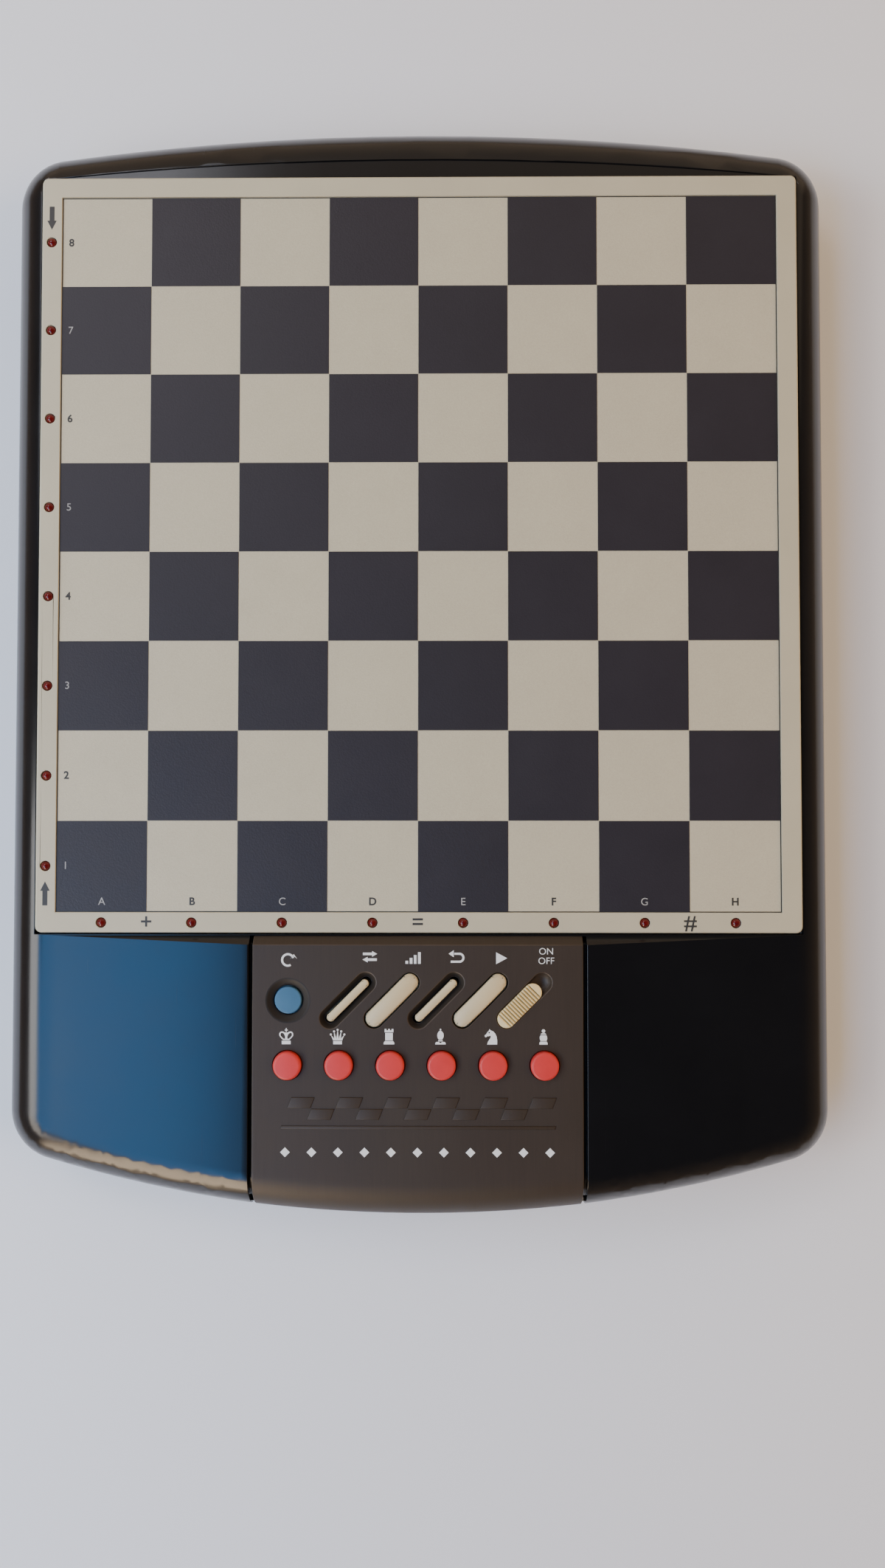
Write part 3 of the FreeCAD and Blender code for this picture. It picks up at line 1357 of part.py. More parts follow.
def write_parts():
    """Checks every object and writes each piece to its own file."""
    doc.recompute()
    for obj in doc.Objects:
        if "Invalid" in obj.State or "Error" in obj.State:
            raise RuntimeError(f"{obj.Name} failed: {obj.State}")
    os.makedirs("parts", exist_ok=True)
    for name, obj in nodes.items():
        obj.Label = name
        shape = obj.Shape
        if shape.isNull() or not shape.isValid() or not shape.Solids:
            raise RuntimeError(f"{name} has no valid solid")
    for name, obj in nodes.items():
        obj.Shape.exportStep(f"parts/{name}.step")
        print(name, len(obj.Shape.Solids), round(obj.Shape.Volume, 1))


def main():
    form, hollow = upper_case()
    lower_case()
    board_frame()
    sensor_stack()
    lamps()
    control_panel(form, hollow)
    keys()
    keypad()
    electronics()
    power()
    feet_and_screws()
    write_parts()


main()
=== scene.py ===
import json
import math

import bmesh
import bpy
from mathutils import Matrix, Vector

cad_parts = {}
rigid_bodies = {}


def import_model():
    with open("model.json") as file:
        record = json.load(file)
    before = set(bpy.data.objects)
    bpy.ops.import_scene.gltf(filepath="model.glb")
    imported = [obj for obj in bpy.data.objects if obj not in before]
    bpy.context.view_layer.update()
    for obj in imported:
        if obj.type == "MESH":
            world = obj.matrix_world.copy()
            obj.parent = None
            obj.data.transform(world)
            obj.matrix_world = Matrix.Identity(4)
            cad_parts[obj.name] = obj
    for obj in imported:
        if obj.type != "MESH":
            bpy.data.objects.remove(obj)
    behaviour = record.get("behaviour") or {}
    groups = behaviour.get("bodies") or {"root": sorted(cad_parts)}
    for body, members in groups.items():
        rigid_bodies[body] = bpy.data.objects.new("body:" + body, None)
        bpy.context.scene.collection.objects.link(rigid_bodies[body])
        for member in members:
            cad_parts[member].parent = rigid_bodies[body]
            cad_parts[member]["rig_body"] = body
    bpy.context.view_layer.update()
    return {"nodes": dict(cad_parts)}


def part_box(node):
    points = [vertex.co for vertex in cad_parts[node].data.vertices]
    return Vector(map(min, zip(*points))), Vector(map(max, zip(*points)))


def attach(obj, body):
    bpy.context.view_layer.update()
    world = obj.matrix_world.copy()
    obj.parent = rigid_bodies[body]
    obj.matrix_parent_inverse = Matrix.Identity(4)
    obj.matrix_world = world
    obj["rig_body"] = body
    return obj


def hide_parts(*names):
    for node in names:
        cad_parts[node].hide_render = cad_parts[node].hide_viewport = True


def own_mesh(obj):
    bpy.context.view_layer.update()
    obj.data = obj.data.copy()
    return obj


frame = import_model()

bl_info = {
    "name": "Chess computer dresser",
    "version": (1, 0, 0),
    "blender": (4, 5, 0),
    "location": "3D View > Sidebar > Chess",
    "description": "Dresses a tabletop chess computer: casing, printed board, lamps, buttons and keys",
    "category": "Object",
}

MM = 0.001
SLACK = 0.01 * MM
CASING = "casing"
SQUARES = 8
RED_BUTTONS = ("king", "queen", "rook", "bishop", "knight", "pawn")
WIDE_KEYS = ("level_key", "play_key")
BLADE_KEYS = ("mode_key", "take_back_key")
KEY_TURN = math.radians(45)
FLAT_ANGLE = math.radians(0.1)
CREASE_ANGLE = math.radians(2)
EDGE_ANGLE = math.radians(30)
FONT_SIZE = 1.37
FACES_UP = 0.9
SHADER = "Principled BSDF"


def hex_colour(text):
    """Linear colour of an sRGB hex value."""
    parts = [int(text[i:i + 2], 16) / 255 for i in (1, 3, 5)]
    return tuple(p / 12.92 if p <= 0.04045 else ((p + 0.055) / 1.055) ** 2.4 for p in parts)


def colour(name, description, text):
    """A colour that the user can change."""
    return bpy.props.FloatVectorProperty(
        name=name, description=description, subtype="COLOR", size=3, min=0, max=1, default=hex_colour(text))


def length(name, description, millimetres):
    """A size that the user can change."""
    return bpy.props.FloatProperty(
        name=name, description=description, unit="LENGTH", min=0, precision=5, default=millimetres * MM)


class ChessSizes(bpy.types.PropertyGroup):
    """Sizes of the details that are added to the frame"""
    case_edge: length("Casing edge", "Softened edges of the casing and the panel", 0.2)
    frame_edge: length("Frame edge", "Rounded outer edge of the cream frame", 0.7)
    window_edge: length("Window edge", "Broken edges of the frame's window and lamp holes", 0.15)
    flange_reach: length("Flange reach", "Holding flange beyond its button or key", 1.05)
    flange_height: length("Flange height", "Thickness of the holding flange", 1.2)
    button_edge: length("Button edge", "Rounded top edge of a button", 0.9)
    wide_edge: length("Wide key edge", "Rounded top edge of a wide key", 1.0)
    blade_edge: length("Narrow key edge", "Rounded top edge of a narrow key", 0.45)
    key_crown: length("Key crown", "Radius of a key's crown along its length", 40)
    key_dome: length("Key dome", "Radius of a wide key's crown across its width", 6)
    blade_dome: length("Narrow key dome", "Radius of a narrow key's crown across its width", 2.2)
    slot_depth: length("Slider depth", "Slider knob below the deck", 1.5)
    rib_pitch: length("Rib pitch", "Spacing of the slider's grip ribs", 0.97)
    ribs: bpy.props.IntProperty(name="Ribs", description="Grip ribs on the slider", min=1, default=13)
    rib_depth: length("Rib depth", "Depth of the grooves between the grip ribs", 0.62)
    lamp_flange: length("Lamp flange", "Diameter of a lamp's flange", 3.8)
    lamp_body: length("Lamp body", "Diameter of a lamp", 3)
    print_height: length("Print height", "Height of the printed coordinates", 2.4)
    print_raise: length("Print thickness", "Thickness of printed marks", 0.03)
    mark_raise: length("Mark height", "Height of the raised figures on the panel", 0.14)
    mat_thickness: length("Mat thickness", "Thickness of the rubber mat between its domes", 1.2)
    dome_foot: length("Dome foot", "Diameter of a rubber dome at its foot", 7)
    dome_head: length("Dome head", "Diameter of a rubber dome at its head", 4.5)
    key_travel: length("Key travel", "How far a key goes down", 1.2)
    relief: length("Relief", "Height of the raised band on the panel", 0.3)


class ChessColours(bpy.types.PropertyGroup):
    """Colours of the finishes"""
    case_black: colour("Casing", "Polished black of the casing", "#101012")
    tray_black: colour("Tray", "Grained black of the lower half", "#161617")
    panel_grey: colour("Panel", "Matte grey of the key panel", "#392E24")
    frame_cream: colour("Frame", "Cream of the frame", "#C9BEA2")
    sheet_cream: colour("Light squares", "Cream of the playing sheet", "#CBC0A5")
    square_dark: colour("Dark squares", "Printed dark squares", "#2E2A2F")
    key_cream: colour("Keys", "Ivory of the keys", "#DCC79D")
    slider_cream: colour("Slider", "Yellowed ivory of the slider", "#F8DCA0")
    button_red: colour("Red buttons", "Piece buttons", "#DC3E3B")
    button_blue: colour("Blue button", "New game button", "#456F8E")
    lamp_red: colour("Lamps", "Tinted lamp bodies", "#641012")
    print_white: colour("White print", "Marks on the panel", "#F6F5F2")
    print_side: colour("Print sides", "Slanted sides of the marks on the panel", "#8C8A86")
    print_dark: colour("Dark print", "Marks on cream plastic", "#3A3836")
    print_pale: colour("Pale print", "Coordinates on dark squares", "#A9A6A2")
    floor: colour("Floor", "Pale studio floor", "#FCFBFF")


def sizes():
    """The sizes in use."""
    return bpy.context.scene.chess_sizes


def colours():
    """The colours in use."""
    return bpy.context.scene.chess_colours


# Small modelling tools


def clear_selection():
    """Leaves edit mode and deselects everything."""
    if bpy.context.object and bpy.context.object.mode != "OBJECT":
        bpy.ops.object.mode_set(mode="OBJECT")
    bpy.ops.object.select_all(action="DESELECT")


def take(piece):
    """Makes one object the only selected and active one."""
    clear_selection()
    piece.select_set(True)
    bpy.context.view_layer.objects.active = piece


def edit():
    """Opens the active object for editing."""
    bpy.ops.object.mode_set(mode="EDIT")


def done():
    """Closes the object that is being edited and hands it back."""
    bpy.ops.object.mode_set(mode="OBJECT")
    return bpy.context.object


def edit_mesh():
    """The mesh that is being edited."""
    return bmesh.from_edit_mesh(bpy.context.object.data)


def pick(kind, chosen):
    """Selects the corners, edges or faces that pass a test."""
    bpy.ops.mesh.select_mode(type=kind)
    bpy.ops.mesh.select_all(action="DESELECT")
    mesh = edit_mesh()
    items = {"VERT": mesh.verts, "EDGE": mesh.edges, "FACE": mesh.faces}[kind]
    hits = [item for item in items if chosen(item)]
    for item in hits:
        item.select_set(True)
    if not hits:
        raise RuntimeError("nothing to select where the piece needs it")
    bmesh.update_edit_mesh(bpy.context.object.data)


def soften(chosen, offset, segments, **more):
    """Rounds the edges that pass a test."""
    pick("EDGE", chosen)
    bpy.ops.mesh.bevel(offset=offset, segments=segments, affect="EDGES", **more)


def extrude(rise):
    """Draws the selected faces out along Z."""
    bpy.ops.mesh.extrude_region_move(TRANSFORM_OT_translate={"value": (0, 0, rise)})


def step_in(level, inset, rise):
    """Draws the flat top at a level on, narrower by an inset."""
    pick("FACE", lambda face: face.normal.z > FACES_UP and abs(face.calc_center_median().z - level) < SLACK)
    bpy.ops.mesh.inset(thickness=inset)
    extrude(rise)


def middle_of(edge):
    """The middle of an edge."""
    return (edge.verts[0].co + edge.verts[1].co) / 2


def is_lower_edge(level):
    """A test for edges that lie no higher than a level."""
    return lambda edge: max(corner.co.z for corner in edge.verts) < level + SLACK


def is_top_rim(lowest):
    """A test for edges between a top and a side, at a level or above it."""
    def test(edge):
        if len(edge.link_faces) != 2:
            return False
        slants = sorted(face.normal.z for face in edge.link_faces)
        return abs(slants[0]) < 0.3 and slants[1] > 0.8 and middle_of(edge).z > lowest - SLACK
    return test


def even(start, stop, steps):
    """Values at even steps from start to stop."""
    return [start + (stop - start) * i / steps for i in range(steps + 1)]


def center(node):
    """The middle of a node's box."""
    low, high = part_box(node)
    return (low + high) / 2


def rod(foot, low, high, place=(0, 0), turn=0, head=None, *, sides):
    """Starts a round piece between two levels, tapered to its head, and opens it for editing."""
    clear_selection()
    bpy.ops.mesh.primitive_cone_add(vertices=sides, radius1=foot, radius2=foot if head is None else head,
                                    depth=high - low, location=(*place, (low + high) / 2),
                                    rotation=(0, 0, turn))
    bpy.ops.object.transform_apply()
    edit()


def block(width, depth, low, high):
    """Starts a square piece between two levels and opens it for editing."""
    clear_selection()
    bpy.ops.mesh.primitive_cube_add(size=1, location=(0, 0, (low + high) / 2))
    bpy.context.object.scale = (width, depth, high - low)
    bpy.ops.object.transform_apply()
    edit()


def coat(piece, *materials):
    """Gives a piece its finishes, in the order of its material slots."""
    piece.data.materials.clear()
    for material in materials:
        piece.data.materials.append(material)


def repaint(piece, material, test):
    """Gives the faces that pass a test a finish of their own."""
    piece.data.materials.append(material)
    take(piece)
    edit()
    pick("FACE", test)
    piece.active_material_index = len(piece.data.materials) - 1
    bpy.ops.object.material_slot_assign()
    done()


def settle(piece, name, material, body, nodes=(), smooth=35):
    """Names a finished piece, sets its place into its mesh and hands it to its body."""
    take(piece)
    bpy.ops.object.transform_apply()
    bpy.ops.object.shade_smooth_by_angle(angle=math.radians(smooth))
    piece.name = name
    piece.data.name = name
    if material is not None:
        coat(piece, material)
    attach(piece, body)
    if nodes:
        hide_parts(*nodes)


def join(pieces):
    """Joins several objects into the first."""
    take(pieces[0])
    for piece in pieces:
        piece.select_set(True)
    bpy.ops.object.join()
    return bpy.context.object


def copies(piece, places):
    """One object from copies of a piece at several places."""
    made = []
    for place in places:
        take(piece)
        bpy.ops.object.duplicate()
        bpy.context.object.location = place
        made.append(bpy.context.object)
    bpy.data.objects.remove(piece)
    whole = join(made)
    bpy.ops.object.transform_apply()
    return whole


def node_copy(node):
    """A new object with a node's own shape, its triangles merged to plain faces."""
    piece = bpy.data.objects.new(f"{node}_shell", frame["nodes"][node].data.copy())
    bpy.context.scene.collection.objects.link(piece)
    take(piece)
    edit()
    bpy.ops.mesh.select_all(action="SELECT")
    bpy.ops.mesh.remove_doubles(threshold=0.002 * MM)
    bpy.ops.mesh.dissolve_limited(angle_limit=FLAT_ANGLE)
    return done()


def even_shading(piece):
    """Lets large faces keep their own light at rounded edges."""
    level = piece.modifiers.new("level", "WEIGHTED_NORMAL")
    level.keep_sharp = True
    bpy.ops.object.modifier_apply(modifier=level.name)


def dressed(node, materials, crisp=None):
    """A node's own shape in its place, with softened edges in the last finish; crisp edges stay sharp."""
    piece = node_copy(node)
    coat(piece, *materials)
    edit()
    soften(lambda bend: bend.calc_face_angle(0) > EDGE_ANGLE and not (crisp and crisp(bend)),
           sizes().case_edge, segments=2, material=len(materials) - 1)
    done()
    settle(piece, f"{node}_shell", None, frame["nodes"][node]["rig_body"], nodes=(node,))
    if crisp:
        edit()
        pick("EDGE", lambda bend: bend.calc_face_angle(0) > CREASE_ANGLE and crisp(bend))
        bpy.ops.mesh.mark_sharp()
        done()
    even_shading(piece)
    return piece


# Materials


def add(tree, kind, settings=None, links=None):
    """Adds a node with its settings and links."""
    node = tree.nodes.new(kind)
    for key, value in (settings or {}).items():
        if isinstance(key, str) and hasattr(node, key):
            setattr(node, key, value)
        else:
            node.inputs[key].default_value = value
    for key, source in (links or {}).items():
        tree.links.new(source, node.inputs[key])
    return node


def new_material(name, settings):
    """A material with its tree and the piece's own coordinates."""
    material = bpy.data.materials.new(name)
    material.use_nodes = True
    tree = material.node_tree
    for key, value in settings.items():
        tree.nodes[SHADER].inputs[key].default_value = value
    return material, tree, add(tree, "ShaderNodeTexCoord").outputs["Object"]


def per(millimetres):
    """Pattern scale for features of a size in millimetres."""
    return 1 / (millimetres * MM)


def shade(tint, factor):
    """A lighter or darker version of a colour."""
    return (*[min(1, part * factor) for part in tint[:3]], 1)


def noise(tree, place, size, detail, rough=0.5):
    """Noise with features of a size in millimetres."""
    settings = {"Scale": per(size), "Detail": detail, "Roughness": rough}
    return add(tree, "ShaderNodeTexNoise", settings, {"Vector": place}).outputs["Fac"]


def drawn_noise(tree, place, lengths, detail, rough=0.5, turn=0):
    """Noise drawn out to streaks, with the size of its features in millimetres along each axis."""
    settings = {"Rotation": (0, 0, turn), "Scale": [per(size) for size in lengths]}
    drawn = add(tree, "ShaderNodeMapping", settings, {"Vector": place})
    return noise(tree, drawn.outputs["Vector"], 1 / MM, detail, rough)


def blend(tree, share, tint, dark, light):
    """A colour between a darker and a lighter version of a tint."""
    settings = {"data_type": "RGBA", 6: shade(tint, dark), 7: shade(tint, light)}
    return add(tree, "ShaderNodeMix", settings, {0: share}).outputs[2]


def ramp(tree, value, *stops):
    """Colours that follow a value from stop to stop."""
    tone = add(tree, "ShaderNodeValToRGB", links={"Fac": value})
    for element, (place, tint) in zip(tone.color_ramp.elements, stops):
        element.position = place
        element.color = tint
    return tone.outputs["Color"]


def fit(tree, value, low, high, settings=None):
    """A value moved into a range."""
    settings = {"To Min": low, "To Max": high, **(settings or {})}
    return add(tree, "ShaderNodeMapRange", settings, {"Value": value}).outputs["Result"]


def bumps(tree, height, strength, depth):
    """A surface with bumps of a depth in millimetres."""
    settings = {"Strength": strength, "Distance": depth * MM}
    return add(tree, "ShaderNodeBump", settings, {"Height": height}).outputs["Normal"]


def fed(material, tone, gloss=None, normal=None):
    """A material with its patterns linked to its shader."""
    tree = material.node_tree
    for key, source in (("Base Color", tone), ("Roughness", gloss), ("Normal", normal)):
        if source is not None:
            tree.links.new(source, tree.nodes[SHADER].inputs[key])
    return material


def moulded(name, tint, rough, grain, depth, cloud, spread):
    """Moulded plastic: grain from the tool, and clouds of tone and gloss; all sizes are in millimetres."""
    material, tree, place = new_material(name, {"IOR": 1.52})
    slow = noise(tree, place, cloud, 4, 0.6)
    fine = noise(tree, place, grain, 2, 0.55)
    tone = ramp(tree, slow, (0.3, shade(tint, 1 - spread)), (0.72, shade(tint, 1 + spread)))
    return fed(material, tone, fit(tree, slow, rough - 0.06, rough + 0.08), bumps(tree, fine, 0.6, depth))


def polished_abs():
    """Black ABS from a polished tool: deep gloss with hairline scratches and a film of dust."""
    material, tree, place = new_material("polished_black_abs", {"IOR": 1.54})
    dust = noise(tree, place, 35, 6, 0.65)
    hair = drawn_noise(tree, place, (0.35, 30, 5), 3, turn=0.6)
    scratch = fit(tree, hair, 0, 0.1, {"From Min": 0.7, "From Max": 0.78})
    film = fit(tree, dust, 0.14, 0.26)
    gloss = add(tree, "ShaderNodeMath", {"operation": "ADD"}, {0: film, 1: scratch})
    return fed(material, blend(tree, dust, colours().case_black, 0.85, 1.5), gloss.outputs["Value"])


def brushed_panel():
    """Charcoal ABS rubbed along its length: matte, with fine streaks from front to back."""
    material, tree, place = new_material("rubbed_charcoal_abs", {"IOR": 1.5})
    streak = drawn_noise(tree, place, (0.5, 14, 14), 5, 0.7)
    gloss = fit(tree, noise(tree, place, 22, 4), 0.42, 0.62)
    grain = bumps(tree, noise(tree, place, 0.35, 2), 0.35, 0.05)
    return fed(material, blend(tree, streak, colours().panel_grey, 0.82, 1.2), gloss, grain)


def printed_sheet(name, tint, cloud, spread):
    """Grained PVC sheet: a fine leather grain that scatters light, and uneven yellowing."""
    material, tree, place = new_material(name, {"IOR": 1.5})
    slow = noise(tree, place, cloud, 5, 0.62)
    grain = add(tree, "ShaderNodeTexVoronoi", {"Scale": per(0.55), "Randomness": 1}, {"Vector": place})
    flecks = add(tree, "ShaderNodeMix", {"data_type": "RGBA", "blend_type": "OVERLAY", 0: 0.12},
                 {6: blend(tree, slow, tint, 1 - spread, 1 + spread), 7: noise(tree, place, 0.4, 2)})
    leather = bumps(tree, grain.outputs["Distance"], 0.5, 0.06)
    return fed(material, flecks.outputs[2], fit(tree, slow, 0.42, 0.58), leather)


def tinted_epoxy():
    """Red-tinted epoxy of a lamp: dark and clear, bright where light gathers under the dome."""
    material, tree, place = new_material("red_lamp_epoxy", {
        "IOR": 1.53, "Roughness": 0.08, "Subsurface Weight": 0.35, "Subsurface Scale": 0.8 * MM,
        "Subsurface Radius": (1.0, 0.15, 0.12)})
    return fed(material, blend(tree, noise(tree, place, 1.1, 1), colours().lamp_red, 0.55, 1.5))


def metal(name, text, rough, grain):
    """Bare metal with fine tool marks."""
    material, tree, place = new_material(name, {"Metallic": 1.0})
    marks = noise(tree, place, grain, 3)
    gloss = fit(tree, marks, rough - 0.1, rough + 0.1)
    return fed(material, blend(tree, marks, hex_colour(text), 0.85, 1.1), gloss)


def paint(node, material):
    """Gives a node of the frame its finish."""
    for slot in frame["nodes"][node].material_slots:
        slot.material = material


# Flat marks


def arc(hub, radius, start, stop, steps=14):
    """Points along an arc, in degrees, counter-clockwise where stop is larger."""
    turns = [math.radians(turn) for turn in even(start, stop, steps)]
    return [(hub[0] + radius * math.cos(t), hub[1] + radius * math.sin(t)) for t in turns]


def disc(hub, radius):
    """A round outline."""
    return arc(hub, radius, 0, 345, 23)


def bar(left, low, right, high):
    """An upright rectangle."""
    return [(left, low), (right, low), (right, high), (left, high)]


def mirrored(half):
    """A closed outline from its right half."""
    return half + [(-x, y) for x, y in reversed(half)]


def mark(outlines, place, rise=0):
    """A mark of filled outlines in millimetres, printed on a surface or raised from it."""
    curve = bpy.data.curves.new("mark", "CURVE")
    curve.dimensions = "2D"
    curve.fill_mode = "BOTH"
    for outline in outlines:
        spline = curve.splines.new("POLY")
        spline.points.add(len(outline) - 1)
        for point, (x, y) in zip(spline.points, outline):
            point.co = (x, y, 0, 1)
        spline.use_cyclic_u = True
    piece = bpy.data.objects.new("mark", curve)
    bpy.context.scene.collection.objects.link(piece)
    return set_mark(piece, place, MM, rise)


def letters(text, height, place, rise=0, weight=0):
    """A printed or raised word or sign, centred on its place, with strokes as bold as its weight."""
    clear_selection()
    bpy.ops.object.text_add()
    piece = bpy.context.object
    piece.data.body = text
    piece.data.align_x = "CENTER"
    piece.data.align_y = "CENTER"
    piece.data.size = height * FONT_SIZE
    piece.data.offset = weight
    return set_mark(piece, place, 1, rise)


def set_mark(piece, place, scale, rise):
    """Makes a flat mark a mesh in its place, thin where printed, with slanted sides where raised."""
    curve = piece.data
    if rise:
        curve.extrude = rise / scale / 2
        curve.bevel_depth = rise / scale / 2
        curve.bevel_resolution = 0
        curve.offset -= curve.bevel_depth / 2
    else:
        curve.extrude = sizes().print_raise / scale / 2
    take(piece)
    bpy.ops.object.convert(target="MESH")
    piece = bpy.context.object
    piece.scale = (scale, scale, scale)
    piece.location = (place[0], place[1], place[2] + (0 if rise else sizes().print_raise / 2))
    bpy.ops.object.transform_apply()
    return piece


# Outlines of the marks, in millimetres; a chess figure stands on the origin


def king_mark():
    crown = mirrored([(0.95, 1.28), (1.45, 1.75), (1.95, 2.3), (2.2, 2.85), (2.12, 3.4), (1.8, 3.8),
                      (1.35, 3.95), (0.85, 3.85), (0.4, 3.6)])
    eye = [(0.34, 1.72), (0.78, 1.7), (1.35, 2.2), (1.74, 2.75), (1.7, 3.2), (1.45, 3.5), (1.02, 3.42),
           (0.62, 3.05), (0.4, 2.5)]
    cross = mirrored([(0.15, 3.75), (0.15, 4.15), (0.48, 4.15), (0.48, 4.5), (0.15, 4.5), (0.15, 4.95)])
    return [bar(-1.38, 0, 1.38, 1.08), crown, eye, [(-x, y) for x, y in eye], cross]


def queen_mark():
    crown = mirrored([(1.45, 1.22), (1.58, 1.65), (2.02, 2.62), (1.86, 2.7), (1.02, 1.8), (1.14, 3.58),
                      (0.94, 3.6), (0.36, 1.8), (0.1, 4.05)])
    tips = ((-2.08, 3), (-1.1, 3.95), (0, 4.42), (1.1, 3.95), (2.08, 3))
    return [bar(-1.36, 0, 1.36, 1.05), crown, *[disc(tip, 0.33) for tip in tips]]


def rook_mark():
    foot = mirrored([(1.66, 0), (1.66, 0.5), (1.3, 1.05)])
    top = mirrored([(1.38, 3.68), (1.38, 4.75), (0.76, 4.75), (0.76, 4.3), (0.3, 4.3), (0.3, 4.75)])
    return [foot, bar(-1.17, 1.2, 1.17, 3.52), top]


def bishop_mark():
    side = [(x, 2.75 + 1.4 * y) for x, y in arc((0, 0), 1, -50, 70)]
    mitre = mirrored([(0.5, 1.5), *side, (0.2, 4.25)])
    foot = mirrored([(1.62, 0), (1.6, 0.45), (1.3, 0.8), (0.5, 0.85), (0.18, 0.5)])
    return [foot, bar(-0.68, 0.95, 0.68, 1.36), mitre, disc((0, 4.55), 0.28)]


def knight_mark():
    head = [(-1.5, 0), (1.6, 0), (1.62, 1.4), (1.42, 2.5), (1, 3.4), (0.4, 4.05), (-0.35, 4.35),
            (-0.75, 4.75), (-1, 4.25), (-1.45, 3.75), (-1.75, 3.2), (-2.2, 2.85), (-2.25, 2.5),
            (-1.95, 2.2), (-1.6, 2.3), (-1.35, 2.55), (-0.95, 2.5), (-0.45, 2.75), (-0.4, 2.2),
            (-0.85, 1.5), (-1.3, 0.75)]
    return [head, disc((-0.85, 3.62), 0.2)]


def pawn_mark():
    foot = mirrored([(1.28, 0), (1.28, 0.5), (1, 0.98)])
    body = mirrored([(0.85, 1.12), (1.08, 1.4), (1.16, 2), (1.08, 2.6), (0.85, 2.88)])
    collar = mirrored([(0.86, 3.04), (0.86, 3.22), (0.5, 3.52)])
    return [foot, body, collar, disc((0, 4.15), 0.56)]


def restart_mark():
    ring = arc((0, 0), 1.55, 20, 300, 28) + arc((0, 0), 1.05, 300, 20, 28)
    return [ring, [(0.55, 0.3), (2.1, 0.3), (1.32, 1.35)]]


def opposed_mark():
    right = [(-1.6, 0.35), (0.5, 0.35), (0.5, 0), (1.7, 0.65), (0.5, 1.3), (0.5, 0.95), (-1.6, 0.95)]
    return [right, [(-x, -y) for x, y in right]]


def rising_mark():
    return [bar(-1.8 + 0.95 * i, -1.3, -1.15 + 0.95 * i, -0.6 + 0.65 * i) for i in range(4)]


def back_mark():
    hook = [(-0.6, 0.45), (0.6, 0.45), *arc((0.6, -0.2), 0.65, 90, -90), (-1.4, -0.85), (-1.4, -1.35),
            (0.6, -1.35), *arc((0.6, -0.2), 1.15, -90, 90), (-0.6, 0.95)]
    return [hook, [(-0.7, 1.5), (-1.9, 0.7), (-0.7, -0.1)]]


def play_mark():
    return [[(-1.05, -1.35), (1.5, 0), (-1.05, 1.35)]]


def arrow_mark(way):
    head = [(0, 3.7), (-1.5, 0.8), (-0.78, 0.8), (-0.78, -3.7), (0.78, -3.7), (0.78, 0.8), (1.5, 0.8)]
    return [[(x, y * way) for x, y in head]]


# Pieces


class CHESS_OT_casing(bpy.types.Operator):
    """Dresses the casing halves, the panel and the battery door with softened edges; the panel's edges are
    lighter, partly for wear and partly as a painted highlight
    """
    bl_idname = "chess.casing"
    bl_label = "Casing"

    def wedges(self):
        """A test for edges that end in wedges, at the ledge behind the board and the slope before it."""
        low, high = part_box("board_frame")
        flat, slope_run = 0.99999, 4 * MM

        def test(edge):
            spot = middle_of(edge)
            slants = [face.normal.z for face in edge.link_faces]
            if spot.z < low.z:
                return False
            if spot.y > high.y:
                return max(slants) > flat
            return abs(spot.y - low.y) < slope_run and any(0.4 < slant < 0.9 for slant in slants)
        return test

    def shade_recesses(self, panel):
        """Paints shade into the dish and the slots of the keys: a darker charcoal on their sunk faces."""
        tint = shade(colours().panel_grey, 0.4)
        sunk_by, margin = 0.15 * MM, 2.5 * MM
        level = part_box("control_panel")[1].z - sunk_by
        rooms = [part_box(node) for node in ("new_game_button", *WIDE_KEYS, *BLADE_KEYS)]

        def sunk(face):
            spot = face.calc_center_median()
            return spot.z < level and any(
                low.x - margin < spot.x < high.x + margin and low.y - margin < spot.y < high.y + margin
                for low, high in rooms)

        # Painted shade: the sunk faces of the dish and the key slots get a darker charcoal.
        repaint(panel, moulded("shaded_recess_charcoal_abs", tint, 0.6, 0.4, 0.03, 9, 0.15), sunk)

    def execute(self, context):
        tray = moulded("grained_black_abs", colours().tray_black, 0.55, 0.45, 0.05, 30, 0.12)
        # The panel's softened edges get a lighter grey: partly real wear, partly a painted highlight where
        # the edges catch the light.
        worn_and_highlit_edge = moulded("rubbed_and_highlit_panel_edge", shade(colours().panel_grey, 1.5), 0.4, 0.4, 0.02, 9, 0.25)
        dressed("upper_case", [polished_abs()], self.wedges())
        self.shade_recesses(dressed("control_panel", [brushed_panel(), worn_and_highlit_edge]))
        dressed("lower_case", [tray])
        dressed("battery_door", [tray])
        return {"FINISHED"}


class CHESS_OT_board(bpy.types.Operator):
    """Rounds the cream frame and gives the playing sheet and the dark squares their grain"""
    bl_idname = "chess.board"
    bl_label = "Board"

    def execute(self, context):
        low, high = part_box("board_frame")
        piece = node_copy("board_frame")
        edit()

        def outside(edge):
            spot = middle_of(edge)
            spot.y -= (low.y + high.y) / 2
            return max(abs(spot.x), abs(spot.y)) > high.x - 1 * MM

        rim = is_top_rim(high.z)
        soften(lambda edge: rim(edge) and outside(edge), sizes().frame_edge, segments=5)
        soften(lambda edge: rim(edge) and not outside(edge), sizes().window_edge, segments=2)
        done()
        cream = moulded("satin_cream_abs", colours().frame_cream, 0.45, 0.5, 0.02, 26, 0.035)
        settle(piece, "board_frame_shell", cream, CASING, nodes=("board_frame",))
        even_shading(piece)
        paint("playing_sheet", printed_sheet("grained_cream_sheet", colours().sheet_cream, 11, 0.05))
        paint("dark_squares", printed_sheet("printed_dark_squares", colours().square_dark, 20, 0.1))
        return {"FINISHED"}


